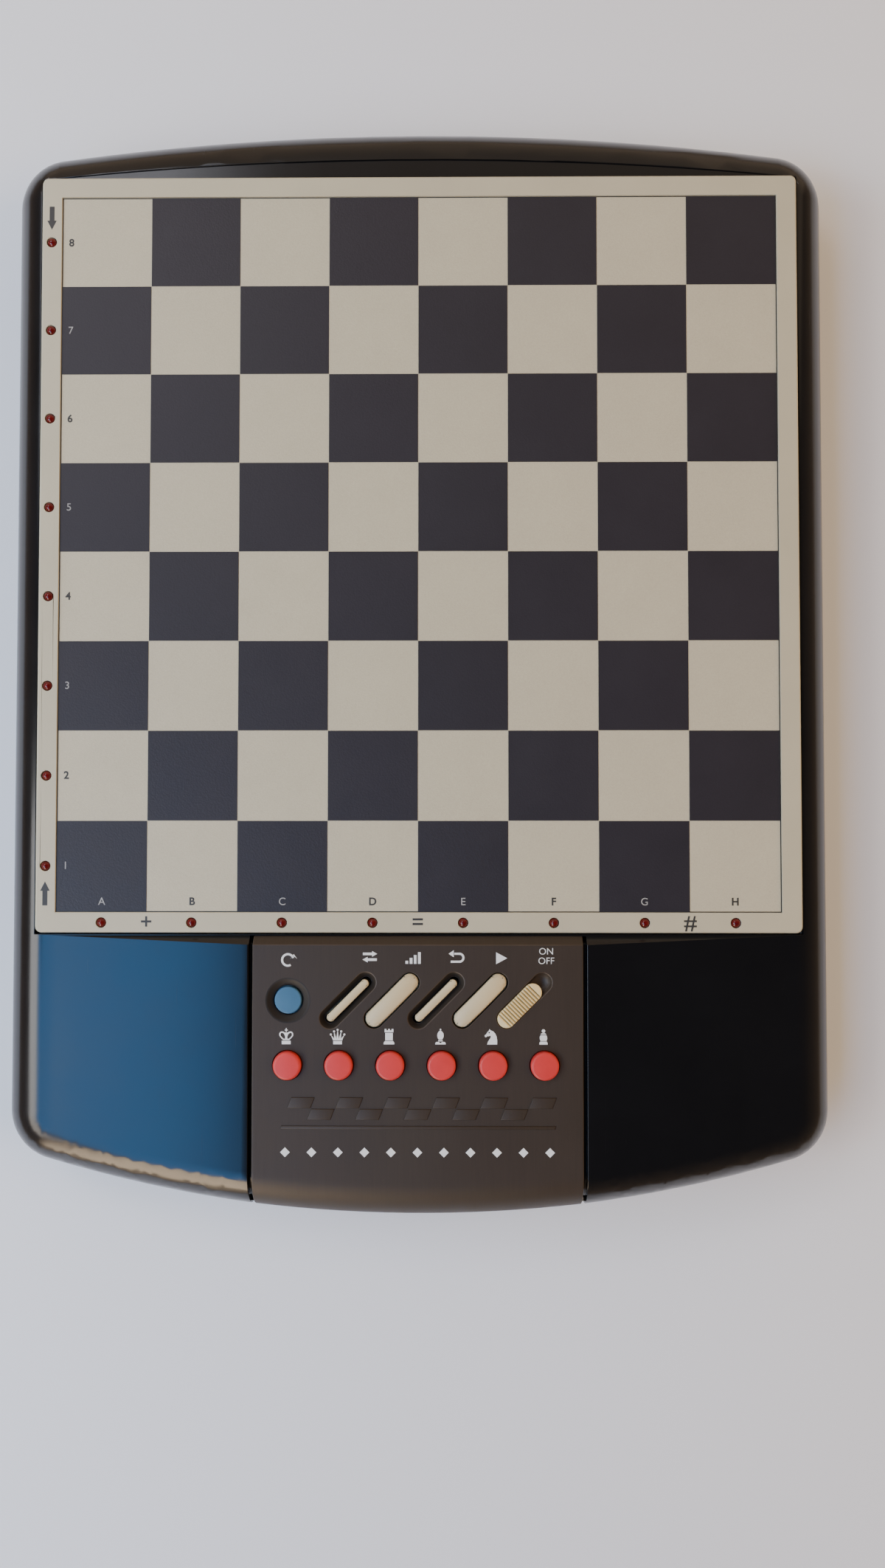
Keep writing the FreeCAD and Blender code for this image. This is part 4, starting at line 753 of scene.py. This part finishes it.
class CHESS_OT_coordinates(bpy.types.Operator):
    """Prints the coordinates on the squares and the arrows and signs on the frame, and paints a dark line
    around the squares as the shadow at the frame's window
    """
    bl_idname = "chess.coordinates"
    bl_label = "Coordinates"

    def execute(self, context):
        low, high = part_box("dark_squares")
        side = (high.x - low.x) / SQUARES
        lamps_x, lamps_y = center("rank_leds").x, center("file_leds").y
        height = sizes().print_height
        sheet_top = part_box("playing_sheet")[1].z
        frame_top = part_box("board_frame")[1].z
        from_side, from_foot = 2.6 * MM, 2.9 * MM
        bold, semibold = 0.1 * MM, 0.06 * MM
        dark, pale = [], []
        for i in range(SQUARES):
            along = side * (i + 0.5)
            marks, level, weight = (dark, sheet_top, bold) if i % 2 else (pale, high.z, 0)
            for text, x, y in (("ABCDEFGH"[i], along, from_foot), (str(i + 1), from_side, along)):
                marks.append(letters(text, height, (low.x + x, low.y + y, level), weight=weight))
        for column, sign in ((1, "+"), (4, "="), (7, "#")):
            place = (low.x + side * column, lamps_y, frame_top)
            dark.append(letters(sign, height * 2, place, weight=semibold))
        for way, y in ((-1, high.y - side * 0.225), (1, low.y + side * 0.195)):
            dark.append(mark(arrow_mark(way), (lamps_x, y, frame_top)))
        # Painted shadow: a thin dark line around the squares, where the edge of the frame's window shades
        # the sheet.
        inner = (high.x - low.x) / 2 / MM
        gap_shadow_width = 0.3
        outer = inner + gap_shadow_width
        outline = [bar(-outer, -outer, outer, outer), bar(-inner, -inner, inner, inner)]
        dark.append(mark(outline, (*center("dark_squares").xy, sheet_top)))
        prints = (("dark", dark, colours().print_dark), ("pale", pale, colours().print_pale))
        for tone, marks, tint in prints:
            ink = moulded(f"{tone}_screen_print", tint, 0.5, 0.3, 0.01, 4, 0.1)
            settle(join(marks), f"{tone}_coordinate_print", ink, CASING)
        return {"FINISHED"}


class CHESS_OT_lamps(bpy.types.Operator):
    """Models the lamps along the left and the near edge"""
    bl_idname = "chess.lamps"
    bl_label = "Lamps"

    def lamp(self, low, high):
        """One lamp at the origin: flange, body and dome."""
        radius = sizes().lamp_body / 2
        flange = sizes().lamp_flange / 2
        lip = low + 1 * MM
        shoulder = high - radius
        rod(flange, low, lip, sides=40)
        step_in(lip, flange - radius, shoulder - lip)
        steps, last = 9, math.radians(86)
        level, width = shoulder, radius
        for turn in even(0, last, steps)[1:]:
            rise = shoulder + radius * math.sin(turn) - level
            scale = radius * math.cos(turn) / width
            extrude(rise)
            bpy.ops.transform.resize(value=(scale, scale, 1))
            level, width = level + rise, width * scale
        return done()

    def execute(self, context):
        epoxy = tinted_epoxy()
        inset = Vector((1, 1, 0)) * (sizes().lamp_flange / 2)
        for node in ("rank_leds", "file_leds"):
            low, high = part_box(node)
            places = [(low + inset).lerp(high - inset, share) for share in even(0, 1, SQUARES - 1)]
            row = copies(self.lamp(low.z, high.z), [(p.x, p.y, 0) for p in places])
            settle(row, f"{node}_domes", epoxy, CASING, (node,))
        return {"FINISHED"}


class CHESS_OT_buttons(bpy.types.Operator):
    """Models the round buttons"""
    bl_idname = "chess.buttons"
    bl_label = "Round buttons"

    def button(self, node, material, slot, edge):
        """A round cap on its holding flange."""
        low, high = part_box(node)
        shoulder = low.z + sizes().flange_height
        rod((high.x - low.x) / 2, low.z, shoulder, center(node).xy, sides=96)
        step_in(shoulder, sizes().flange_reach, high.z - shoulder)
        soften(is_top_rim(high.z), edge, segments=7)
        settle(done(), f"{node}_cap", material, node, (node,), smooth=40)

    def execute(self, context):
        red = moulded("red_abs", colours().button_red, 0.42, 0.4, 0.012, 6, 0.05)
        blue = moulded("blue_abs", colours().button_blue, 0.45, 0.4, 0.012, 6, 0.06)
        for piece in RED_BUTTONS:
            self.button(f"{piece}_button", red, "button_red", sizes().button_edge)
        self.button("new_game_button", blue, "button_blue", sizes().button_edge / 2)
        return {"FINISHED"}


def key_blank(width, span, low, high):
    """Starts a round-ended bar along X about the origin and opens it for editing."""
    sides = 72
    rod(width / 2, low, high, turn=math.pi / sides, sides=sides)
    for side in (-1, 1):
        pick("VERT", lambda corner: corner.co.x * side > 0)
        bpy.ops.transform.translate(value=(side * span / 2, 0, 0))


def cross_cuts(places, way=(1, 0, 0)):
    """Cuts the bar being edited across one direction."""
    for place in places:
        bpy.ops.mesh.select_all(action="SELECT")
        bpy.ops.mesh.bisect(plane_co=[part * place for part in way], plane_no=way)


def sagged(radius, run):
    """How far an arc has fallen at a run from its top."""
    return radius - math.sqrt(radius ** 2 - run ** 2)


def sink(fall):
    """Lowers each corner of the bar being edited by the fall at its place."""
    mesh = edit_mesh()
    for corner in mesh.verts:
        corner.co.z -= fall(corner.co)
    bmesh.update_edit_mesh(bpy.context.object.data)


def across(node, turn):
    """Extent of a slanted node at an angle to its length."""
    turn = KEY_TURN + math.radians(turn)
    way = Vector((math.cos(turn), math.sin(turn), 0))
    reach = [corner.co.dot(way) for corner in frame["nodes"][node].data.vertices]
    return max(reach) - min(reach)


def set_slanted(piece, node):
    """Turns a bar to the slant of the keys and brings it to the middle of a node."""
    piece.rotation_euler.z = KEY_TURN
    piece.location = (*center(node).xy, 0)


class CHESS_OT_keys(bpy.types.Operator):
    """Models the wide and the narrow slanted keys"""
    bl_idname = "chess.keys"
    bl_label = "Slanted keys"

    def key(self, node, radius, dome, edge, ivory, side_shade):
        """A crowned bar on its holding flange, turned to its slant."""
        low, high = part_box(node)
        reach = sizes().flange_reach
        wide = across(node, 90)
        span = across(node, 0) - wide
        half = wide / 2 - reach
        shoulder = low.z + sizes().flange_height
        key_blank(wide, span, low.z, shoulder)
        step_in(shoulder, reach, high.z - shoulder)
        cross_cuts(even(-span / 2, span / 2, 16))
        cross_cuts(even(-0.8 * half, 0.8 * half, 8), (0, 1, 0))

        def fall(spot):
            on_top = abs(spot.z - high.z) < SLACK
            return sagged(radius, spot.x) + sagged(dome, spot.y) if on_top else 0

        sink(fall)
        deepest = sagged(radius, (span + wide) / 2) + sagged(dome, half)
        soften(is_top_rim(high.z - deepest - SLACK), edge, segments=7)
        piece = done()
        coat(piece, ivory)
        # Painted shade: the key's steep sides get a near-black ivory, for the dark gap around the key.
        repaint(piece, side_shade, lambda face: abs(face.normal.z) < 0.5)
        set_slanted(piece, node)
        settle(piece, f"{node}_cap", None, node, (node,), smooth=45)

    def execute(self, context):
        size, tint = sizes(), colours().key_cream
        # The second finish is a painted shade for the keys' sides.
        finishes = (moulded("ivory_abs", tint, 0.42, 0.4, 0.01, 7, 0.035),
                    moulded("shaded_key_side", shade(tint, 0.06), 0.6, 0.4, 0.01, 3, 0.2))
        for node in WIDE_KEYS:
            self.key(node, size.key_crown, size.key_dome, size.wide_edge, *finishes)
        for node in BLADE_KEYS:
            self.key(node, size.key_crown * 4, size.blade_dome, size.blade_edge, *finishes)
        return {"FINISHED"}


class CHESS_OT_slider(bpy.types.Operator):
    """Models the ribbed slider with its neck, holding plate and pin"""
    bl_idname = "chess.slider"
    bl_label = "Slider"

    def grip(self, width, span, deck, top):
        """The knob: a bar with soft ribs across its top and a bottom that is round like its slot."""
        key_blank(width, span, deck, top)
        depth = sizes().slot_depth
        keel, thinnest = 0.4 * MM, 0.3 * MM
        hollow = (width ** 2 / 4 + depth ** 2) / depth / 2
        pick("FACE", lambda face: face.normal.z < -FACES_UP)
        reach, sunk = width / 2, 0
        rings = 5
        for level in even(0, depth, rings)[1:]:
            narrow = math.sqrt(hollow ** 2 - (hollow - depth + level) ** 2)
            if reach - narrow < width / 2 - thinnest:
                bpy.ops.mesh.inset(thickness=min(reach - narrow, reach - keel))
            bpy.ops.transform.translate(value=(0, 0, sunk - level))
            reach, sunk = max(narrow, keel), level
        soften(is_top_rim(top), 0.9 * MM, segments=5)
        pitch, ribs, cuts = sizes().rib_pitch, sizes().ribs, 8
        ribbed = pitch * (ribs + 1) / 2
        cross_cuts(even(-ribbed, ribbed, (ribs + 1) * cuts))

        def fall(spot):
            share = max(0, min(1, (spot.z - top + 1 * MM) / MM))
            along = spot.x / pitch + ribs / 2
            groove = 0.5 + 0.5 * math.cos(math.tau * along) if -0.5 < along < ribs + 0.5 else 0
            return share * (sagged(sizes().key_crown, spot.x) + sizes().rib_depth * groove)

        sink(fall)
        return done()

    def shade_grooves(self, piece, deck):
        """Paints shade into the grooves between the ribs: a darker ivory on their low faces."""
        tint = shade(colours().slider_cream, 0.5)

        def deep(face):
            spot = face.calc_center_median()
            along = spot.x / sizes().rib_pitch + sizes().ribs / 2
            inside = spot.z > deck and -0.3 < along < sizes().ribs + 0.3
            return inside and face.normal.z > 0.1 and math.cos(math.tau * along) > 0.3

        # Painted shade: the faces low in the grooves get a darker ivory.
        repaint(piece, moulded("shaded_groove_ivory_abs", tint, 0.55, 0.4, 0.01, 3, 0.15), deep)

    def execute(self, context):
        node = "go_stop_slider"
        low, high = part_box(node)
        width = across(node, 90)
        span = across(node, 0) - width
        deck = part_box("control_panel")[1].z
        neck_top = deck - sizes().slot_depth + 0.6 * MM
        plate_low, plate_high = low.z + 1.55 * MM, low.z + 2.65 * MM
        overlap = 0.1 * MM
        neck = (2.4 * MM, 3 * MM, plate_high - overlap, neck_top)
        plate = (width, 6 * MM, plate_low, plate_high)
        pin = (1.6 * MM, 0, low.z, plate_low + overlap)

        def is_level(edge):
            return abs(edge.verts[0].co.z - edge.verts[1].co.z) < SLACK / 10

        parts = [self.grip(width, span, deck, high.z)]
        for part in (neck, plate, pin):
            key_blank(*part)
            soften(is_level, 0.1 * MM, segments=1)
            parts.append(done())
        whole = join(parts)
        coat(whole, moulded("yellowed_ivory_abs", colours().slider_cream, 0.42, 0.4, 0.01, 5, 0.08))
        self.shade_grooves(whole, deck)
        set_slanted(whole, node)
        settle(whole, "go_stop_slider_knob", None, node, (node,), smooth=60)
        return {"FINISHED"}


def panel_line(distance):
    """A line on the panel, at a distance in millimetres in front of the row of round buttons."""
    return center("king_button").y - distance * MM


class CHESS_OT_legends(bpy.types.Operator):
    """Prints the key signs, the chess figures and a row of lozenges on the panel"""
    bl_idname = "chess.legends"
    bl_label = "Panel marks"

    def execute(self, context):
        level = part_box("control_panel")[1].z
        rise = sizes().mark_raise
        figure_shift, figure_gap = -0.35 * MM, 1 * MM
        sign_gap, sign_scale = 7.2 * MM, 1.35
        text_shift, text_height = 8.2 * MM, 2.1 * MM
        lozenges, lozenge_reach, lozenge_line = 11, 40.5 * MM, 26.4
        marks = []
        figures = (king_mark, queen_mark, rook_mark, bishop_mark, knight_mark, pawn_mark)
        for piece, figure in zip(RED_BUTTONS, figures):
            low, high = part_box(f"{piece}_button")
            place = ((low.x + high.x) / 2 + figure_shift, high.y + figure_gap, level)
            marks.append(mark(figure(), place, rise))
        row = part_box("new_game_button")[1].y + sign_gap
        signs = (("new_game_button", restart_mark, 0, 0), ("mode_key", opposed_mark, 6.8, 1),
                 ("level_key", rising_mark, 6.6, 0.6), ("take_back_key", back_mark, 6.4, 1),
                 ("play_key", play_mark, 6.3, 0.6))
        for node, sign, shift, lift in signs:
            outlines = [[(x * sign_scale, y * sign_scale) for x, y in outline] for outline in sign()]
            marks.append(mark(outlines, (center(node).x + shift * MM, row + lift * MM, level), rise))
        beside = center("go_stop_slider").x + text_shift
        for text, lift in (("ON", 2.6), ("OFF", -0.3)):
            marks.append(letters(text, text_height, (beside, row + lift * MM, level), rise))
        lozenge = [(0, -1.5), (1.5, 0), (0, 1.5), (-1.5, 0)]
        for x in even(-lozenge_reach, lozenge_reach, lozenges - 1):
            marks.append(mark([lozenge], (x, panel_line(lozenge_line), level), rise))
        piece = join(marks)
        # The raised marks are white on their tops and grey on their slanted sides.
        coat(piece, moulded("white_screen_print", colours().print_white, 0.5, 0.3, 0.01, 3, 0.05),
             moulded("grey_print_side", colours().print_side, 0.5, 0.3, 0.01, 3, 0.1))
        for face in piece.data.polygons:
            face.material_index = 0 if face.normal.z > FACES_UP else 1
        settle(piece, "panel_print", None, CASING, smooth=20)
        return {"FINISHED"}


class CHESS_OT_relief(bpy.types.Operator):
    """Raises a slanted checker band with a line below it on the panel"""
    bl_idname = "chess.relief"
    bl_label = "Raised band"

    def tile(self, width, depth, lean, low, high):
        """A slanted raised tile about the origin."""
        block(width, depth, low, high)
        pick("VERT", lambda corner: corner.co.y > 0)
        bpy.ops.transform.translate(value=(lean, 0, 0))
        soften(is_top_rim(high), 0.2 * MM, segments=3)
        return done()

    def execute(self, context):
        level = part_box("control_panel")[1].z
        rooted = 0.3 * MM
        low, high = level - rooted, level + sizes().relief
        wide, deep, lean, gap = 7.4 * MM, 3.5 * MM, 1.3 * MM, 0.25 * MM
        stripe = (84 * MM, 1 * MM, 0.3 * MM)
        rows, columns = 2, 11
        band_line, stripe_line = 11.4, 18.9
        places = []
        for row in range(rows):
            for i in range(row, columns, rows):
                x = (i - columns // 2) * wide + (0.5 - row) * lean
                places.append((x, panel_line(band_line) - row * deep, 0))
        band = copies(self.tile(wide - gap, deep - gap, lean, low, high), places)
        line = self.tile(*stripe, low, high)
        line.location = (0, panel_line(stripe_line), 0)
        settle(join([band, line]), "raised_band", brushed_panel(), CASING)
        return {"FINISHED"}


class CHESS_OT_underside(bpy.types.Operator):
    """Models the feet, the casing screws and the grip on the battery door"""
    bl_idname = "chess.underside"
    bl_label = "Underside"

    def execute(self, context):
        self.feet()
        self.screws()
        self.grip()
        return {"FINISHED"}

    def feet(self):
        """Rubber feet with a rounded edge and a sucker-like hollow."""
        low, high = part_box("rubber_feet")
        radius, rim, hollow = 6 * MM, 1.6 * MM, 0.4 * MM
        rod(radius, low.z, high.z, sides=64)
        pick("FACE", lambda face: face.normal.z < -FACES_UP)
        bpy.ops.mesh.inset(thickness=rim)
        extrude(hollow)
        soften(is_lower_edge(low.z), 0.4 * MM, segments=4)
        rubber = moulded("black_rubber", hex_colour("#1B1B1B"), 0.75, 0.5, 0.05, 8, 0.15)
        feet = copies(done(), solid_middles("rubber_feet", radius * 2))
        settle(feet, "rubber_feet_turned", rubber, CASING, ("rubber_feet",))

    def screws(self):
        """Self-tapping screws with a cross recess, a pan head and a tapered tip."""
        low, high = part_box("case_screws")
        head, shank, tall, tip, taper = 2.8 * MM, 1.45 * MM, 2.2 * MM, 1.5 * MM, 0.45
        rod(head, low.z, low.z + tall, sides=48)
        soften(is_lower_edge(low.z), 0.9 * MM, segments=5)
        step_in(low.z + tall, head - shank, high.z - low.z - tall - tip)
        extrude(tip)
        bpy.ops.transform.resize(value=(taper, taper, 1))
        screw = done()
        slot_length, slot_width, slot_depth = 3 * MM, 0.65 * MM, 1.2 * MM
        for width, depth in ((slot_length, slot_width), (slot_width, slot_length)):
            block(width, depth, low.z - slot_depth, low.z + slot_depth)
            blade = done()
            take(screw)
            recess = screw.modifiers.new("recess", "BOOLEAN")
            recess.object = blade
            bpy.ops.object.modifier_apply(modifier=recess.name)
            bpy.data.objects.remove(blade)
        steel = metal("zinc_plated_steel", "#A9A9A6", 0.35, 0.4)
        screws = copies(screw, solid_middles("case_screws", head * 2))
        settle(screws, "case_screws_turned", steel, CASING, ("case_screws",))

    def grip(self):
        """Finger ribs moulded on the battery door."""
        low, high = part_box("battery_door")
        wide, deep, proud = 16 * MM, 1.2 * MM, 0.5 * MM
        first, pitch, ribs = 6 * MM, 2.4 * MM, 5
        block(wide, deep, low.z - proud, low.z + proud)
        soften(is_lower_edge(low.z), 0.45 * MM, segments=4)
        places = [((low.x + high.x) / 2, low.y + first + pitch * i, 0) for i in range(ribs)]
        tray = moulded("grained_black_abs_grip", colours().tray_black, 0.5, 0.45, 0.04, 12, 0.12)
        settle(copies(done(), places), "battery_door_grip", tray, "battery_door")


def solid_middles(node, width):
    """Middles of the separate round solids in a node."""
    corners = [corner.co.xy for corner in frame["nodes"][node].data.vertices]
    reach = width * 1.2
    spots = []
    for corner in corners:
        if all((spot - corner).length >= reach for spot in spots):
            spots.append(corner)
    middles = []
    for spot in spots:
        ring = [corner for corner in corners if (corner - spot).length < reach]
        spans = [[corner[axis] for corner in ring] for axis in (0, 1)]
        middles.append((*[(min(span) + max(span)) / 2 for span in spans], 0))
    return middles


class CHESS_OT_keypad_mat(bpy.types.Operator):
    """Models the rubber mat under the keys, with a dome under each button and key"""
    bl_idname = "chess.keypad_mat"
    bl_label = "Keypad mat"

    def web(self, level, material):
        """The mat between the domes: its own shape with the domes pressed flat."""
        piece = node_copy("keypad_mat")
        edit()
        pick("VERT", lambda corner: corner.co.z > level + SLACK)
        bpy.ops.transform.resize(value=(1, 1, 0), center_override=(0, 0, level))
        bpy.ops.mesh.select_all(action="SELECT")
        bpy.ops.mesh.dissolve_limited(angle_limit=FLAT_ANGLE)
        done()
        settle(piece, "keypad_mat_web", material, CASING, nodes=("keypad_mat",))

    def dome(self, level, top):
        """One dome with a soft rim and a dimple."""
        foot, head = sizes().dome_foot / 2, sizes().dome_head / 2
        rod(foot, level, top, head=head, sides=48)
        step_in(top, 0.9 * MM, -0.2 * MM)
        rim = head - 5 * SLACK

        def at_rim(edge):
            return all(corner.co.z > top - SLACK and corner.co.xy.length > rim for corner in edge.verts)

        soften(at_rim, 0.25 * MM, segments=3)
        return done()

    def execute(self, context):
        silicone = moulded("grey_silicone", hex_colour("#8C8C8E"), 0.65, 0.5, 0.02, 6, 0.08)
        low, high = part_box("keypad_mat")
        level = low.z + sizes().mat_thickness
        self.web(level, silicone)
        overlap = 0.05 * MM
        model = self.dome(level - overlap, high.z)
        buttons = [f"{piece}_button" for piece in (*RED_BUTTONS, "new_game")]
        for node in (*buttons, *WIDE_KEYS, *BLADE_KEYS):
            middle = center(node)
            name = node.rsplit("_", 1)[0]
            take(model)
            bpy.ops.object.duplicate()
            dome = context.object
            dome.location = (middle.x, middle.y, 0)
            settle(dome, f"{name}_dome", silicone, CASING)
            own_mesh(dome)
        bpy.data.objects.remove(model)
        return {"FINISHED"}


class CHESS_OT_inside(bpy.types.Operator):
    """Gives the pieces inside the casing their finishes"""
    bl_idname = "chess.inside"
    bl_label = "Inside"

    def execute(self, context):
        plastics = {
            ("polyester_film", "#C9C6BA", 0.3, 1.0, 0.01, 15, 0.05):
                ("membrane_top", "membrane_spacer", "membrane_bottom", "membrane_tail"),
            ("green_solder_mask", "#1F5A34", 0.35, 0.8, 0.03, 5, 0.15):
                ("main_board", "keypad_board", "rank_led_board", "file_led_board"),
            ("black_chip_epoxy", "#1A1A1B", 0.6, 0.2, 0.02, 3, 0.1):
                ("microcontroller", "driver_chips", "slide_switch", "dc_socket"),
            ("white_nylon", "#D8D2C0", 0.5, 0.5, 0.02, 6, 0.05): ("membrane_connector",),
            ("dipped_ceramic", "#C77A2B", 0.35, 0.6, 0.03, 2, 0.1): ("ceramic_resonator",),
            ("grey_pvc_ribbon", "#9A9B9E", 0.5, 1.27, 0.08, 6, 0.1):
                ("keypad_ribbon", "rank_led_ribbon", "file_led_ribbon"),
            ("red_pvc_lead", "#A3211F", 0.45, 0.6, 0.02, 6, 0.08):
                ("battery_leads", "socket_leads", "buzzer_leads"),
            ("cell_wrap", "#2B3238", 0.3, 0.6, 0.01, 9, 0.15): ("batteries",),
        }
        metals = {
            ("screw_steel", "#A5A5A3", 0.35, 0.3):
                ("frame_screws", "panel_screws", "keypad_screws", "led_board_screws", "main_board_screws",
                 "battery_contacts"),
            ("buzzer_brass", "#C79B45", 0.3, 0.6): ("buzzer",),
            ("aluminium_can", "#C3C5C8", 0.3, 0.5): ("capacitors",),
        }
        finishes = [(moulded(name, hex_colour(text), *values), nodes)
                    for (name, text, *values), nodes in plastics.items()]
        finishes += [(metal(*values), nodes) for values, nodes in metals.items()]
        for material, nodes in finishes:
            for node in nodes:
                paint(node, material)
        return {"FINISHED"}


class CHESS_OT_stage(bpy.types.Operator):
    """Sets the floor, the lights and the camera"""
    bl_idname = "chess.stage"
    bl_label = "Stage"

    def soft_light(self, name, place, way, size, power, tint, mirrored=True, fills=True):
        """A large soft lamp, which may be left out of the gloss, or be seen in nothing else."""
        light = bpy.data.lights.new(name, "AREA")
        light.shape = "RECTANGLE"
        light.size, light.size_y = size
        light.energy = power
        light.color = hex_colour(tint)
        lamp = bpy.data.objects.new(name, light)
        lamp.location = place
        lamp.rotation_euler = Vector(way).to_track_quat("-Z", "Y").to_euler()
        lamp.visible_glossy = mirrored
        lamp.visible_diffuse = fills
        bpy.context.scene.collection.objects.link(lamp)

    def execute(self, context):
        clear_selection()
        bpy.ops.mesh.primitive_plane_add(size=6)
        floor = context.object
        floor.name = "studio_floor"
        floor.data.materials.append(moulded("pale_floor", colours().floor, 0.85, 3, 0.02, 400, 0.01))
        self.photo_camera(context.scene)
        self.room(context.scene)
        self.lights()
        return {"FINISHED"}

    def photo_camera(self, scene):
        """The camera that took the photograph, as fitted to the board's corners and the outline."""
        camera = bpy.data.cameras.new("photo_camera")
        camera.sensor_width = 36
        camera.lens = 26.074
        eye = bpy.data.objects.new("photo_camera", camera)
        eye.location = (0.010466, center("dark_squares").y - 0.083126, 0.382398)
        eye.rotation_euler = [math.radians(turn) for turn in (1.7124, 0.4635, 0.0131)]
        scene.collection.objects.link(eye)
        scene.camera = eye

    def lights(self):
        """Windows and sky to the left, a sunlit blind in front, a wall behind, a warm room to the right."""
        down, ahead = (0, 0, -1), (0, 1, 0)
        light = self.soft_light
        light("blue_sky", (-0.39, -0.46, 0.75), down, (0.265, 0.8), 3.2, "#5DB1FF")
        light("window_frame", (-0.845, -0.225, 0.75), down, (0.61, 0.39), 4.8, "#FFFFFF")
        light("window_corner", (-0.83, -0.66, 0.75), down, (0.42, 0.48), 3.6, "#FFF4E6")
        light("sunlit_blind", (-0.42, -0.9, 0.48), ahead, (0.4, 0.54), 6.0, "#FFE4C2", True, False)
        light("blind_foot", (-0.42, -0.9, 0.13), ahead, (0.4, 0.16), 0.35, "#FFE4C2")
        light("far_window", (-0.485, 0.48, 0.75), down, (0.53, 0.36), 2.4, "#F2F4FF")
        light("back_wall", (0.1, 0.85, 0.5), (-0.1, -0.75, -0.47), (1.8, 0.95), 2.4, "#FFE2BE")
        light("low_sky", (-0.95, 0.05, 0.6), (0.95, -0.07, -0.57), (0.5, 0.8), 6.9, "#D4EAFF", False)
        light("warm_room", (0.95, -0.1, 0.7), (-0.95, 0.08, -0.67), (0.9, 0.9), 9.4, "#FFE0B8", False)

    def room(self, scene):
        """A dim room: dark overhead, warm towards the horizon."""
        world = bpy.data.worlds.new("studio")
        world.use_nodes = True
        tree = world.node_tree
        way = add(tree, "ShaderNodeTexCoord").outputs["Generated"]
        rise = add(tree, "ShaderNodeSeparateXYZ", links={"Vector": way})
        horizon, overhead = (shade(hex_colour(text), 1) for text in ("#AA8E73", "#3F3A38"))
        tone = ramp(tree, rise.outputs["Z"], (0, horizon), (0.75, overhead))
        tree.links.new(tone, tree.nodes["Background"].inputs["Color"])
        scene.world = world


class CHESS_PT_dresser(bpy.types.Panel):
    """Lists the pieces and the values that shape them"""
    bl_label = "Chess computer"
    bl_idname = "CHESS_PT_dresser"
    bl_space_type = "VIEW_3D"
    bl_region_type = "UI"
    bl_category = "Chess"

    def draw(self, context):
        for operator in OPERATORS:
            self.layout.operator(operator.bl_idname)
        for group in (context.scene.chess_sizes, context.scene.chess_colours):
            column = self.layout.column()
            for name in group.bl_rna.properties.keys():
                if name not in ("rna_type", "name"):
                    column.prop(group, name)


OPERATORS = (
    CHESS_OT_casing,
    CHESS_OT_board,
    CHESS_OT_coordinates,
    CHESS_OT_lamps,
    CHESS_OT_buttons,
    CHESS_OT_keys,
    CHESS_OT_slider,
    CHESS_OT_legends,
    CHESS_OT_relief,
    CHESS_OT_underside,
    CHESS_OT_keypad_mat,
    CHESS_OT_inside,
    CHESS_OT_stage,
)
CLASSES = (ChessSizes, ChessColours, *OPERATORS, CHESS_PT_dresser)


def register():
    for item in CLASSES:
        bpy.utils.register_class(item)
    bpy.types.Scene.chess_sizes = bpy.props.PointerProperty(type=ChessSizes)
    bpy.types.Scene.chess_colours = bpy.props.PointerProperty(type=ChessColours)


def unregister():
    del bpy.types.Scene.chess_colours
    del bpy.types.Scene.chess_sizes
    for item in reversed(CLASSES):
        bpy.utils.unregister_class(item)


def main():
    register()
    bpy.ops.chess.casing()
    bpy.ops.chess.board()
    bpy.ops.chess.coordinates()
    bpy.ops.chess.lamps()
    bpy.ops.chess.buttons()
    bpy.ops.chess.keys()
    bpy.ops.chess.slider()
    bpy.ops.chess.legends()
    bpy.ops.chess.relief()
    bpy.ops.chess.underside()
    bpy.ops.chess.keypad_mat()
    bpy.ops.chess.inside()
    bpy.ops.chess.stage()


if __name__ == "__main__":
    main()
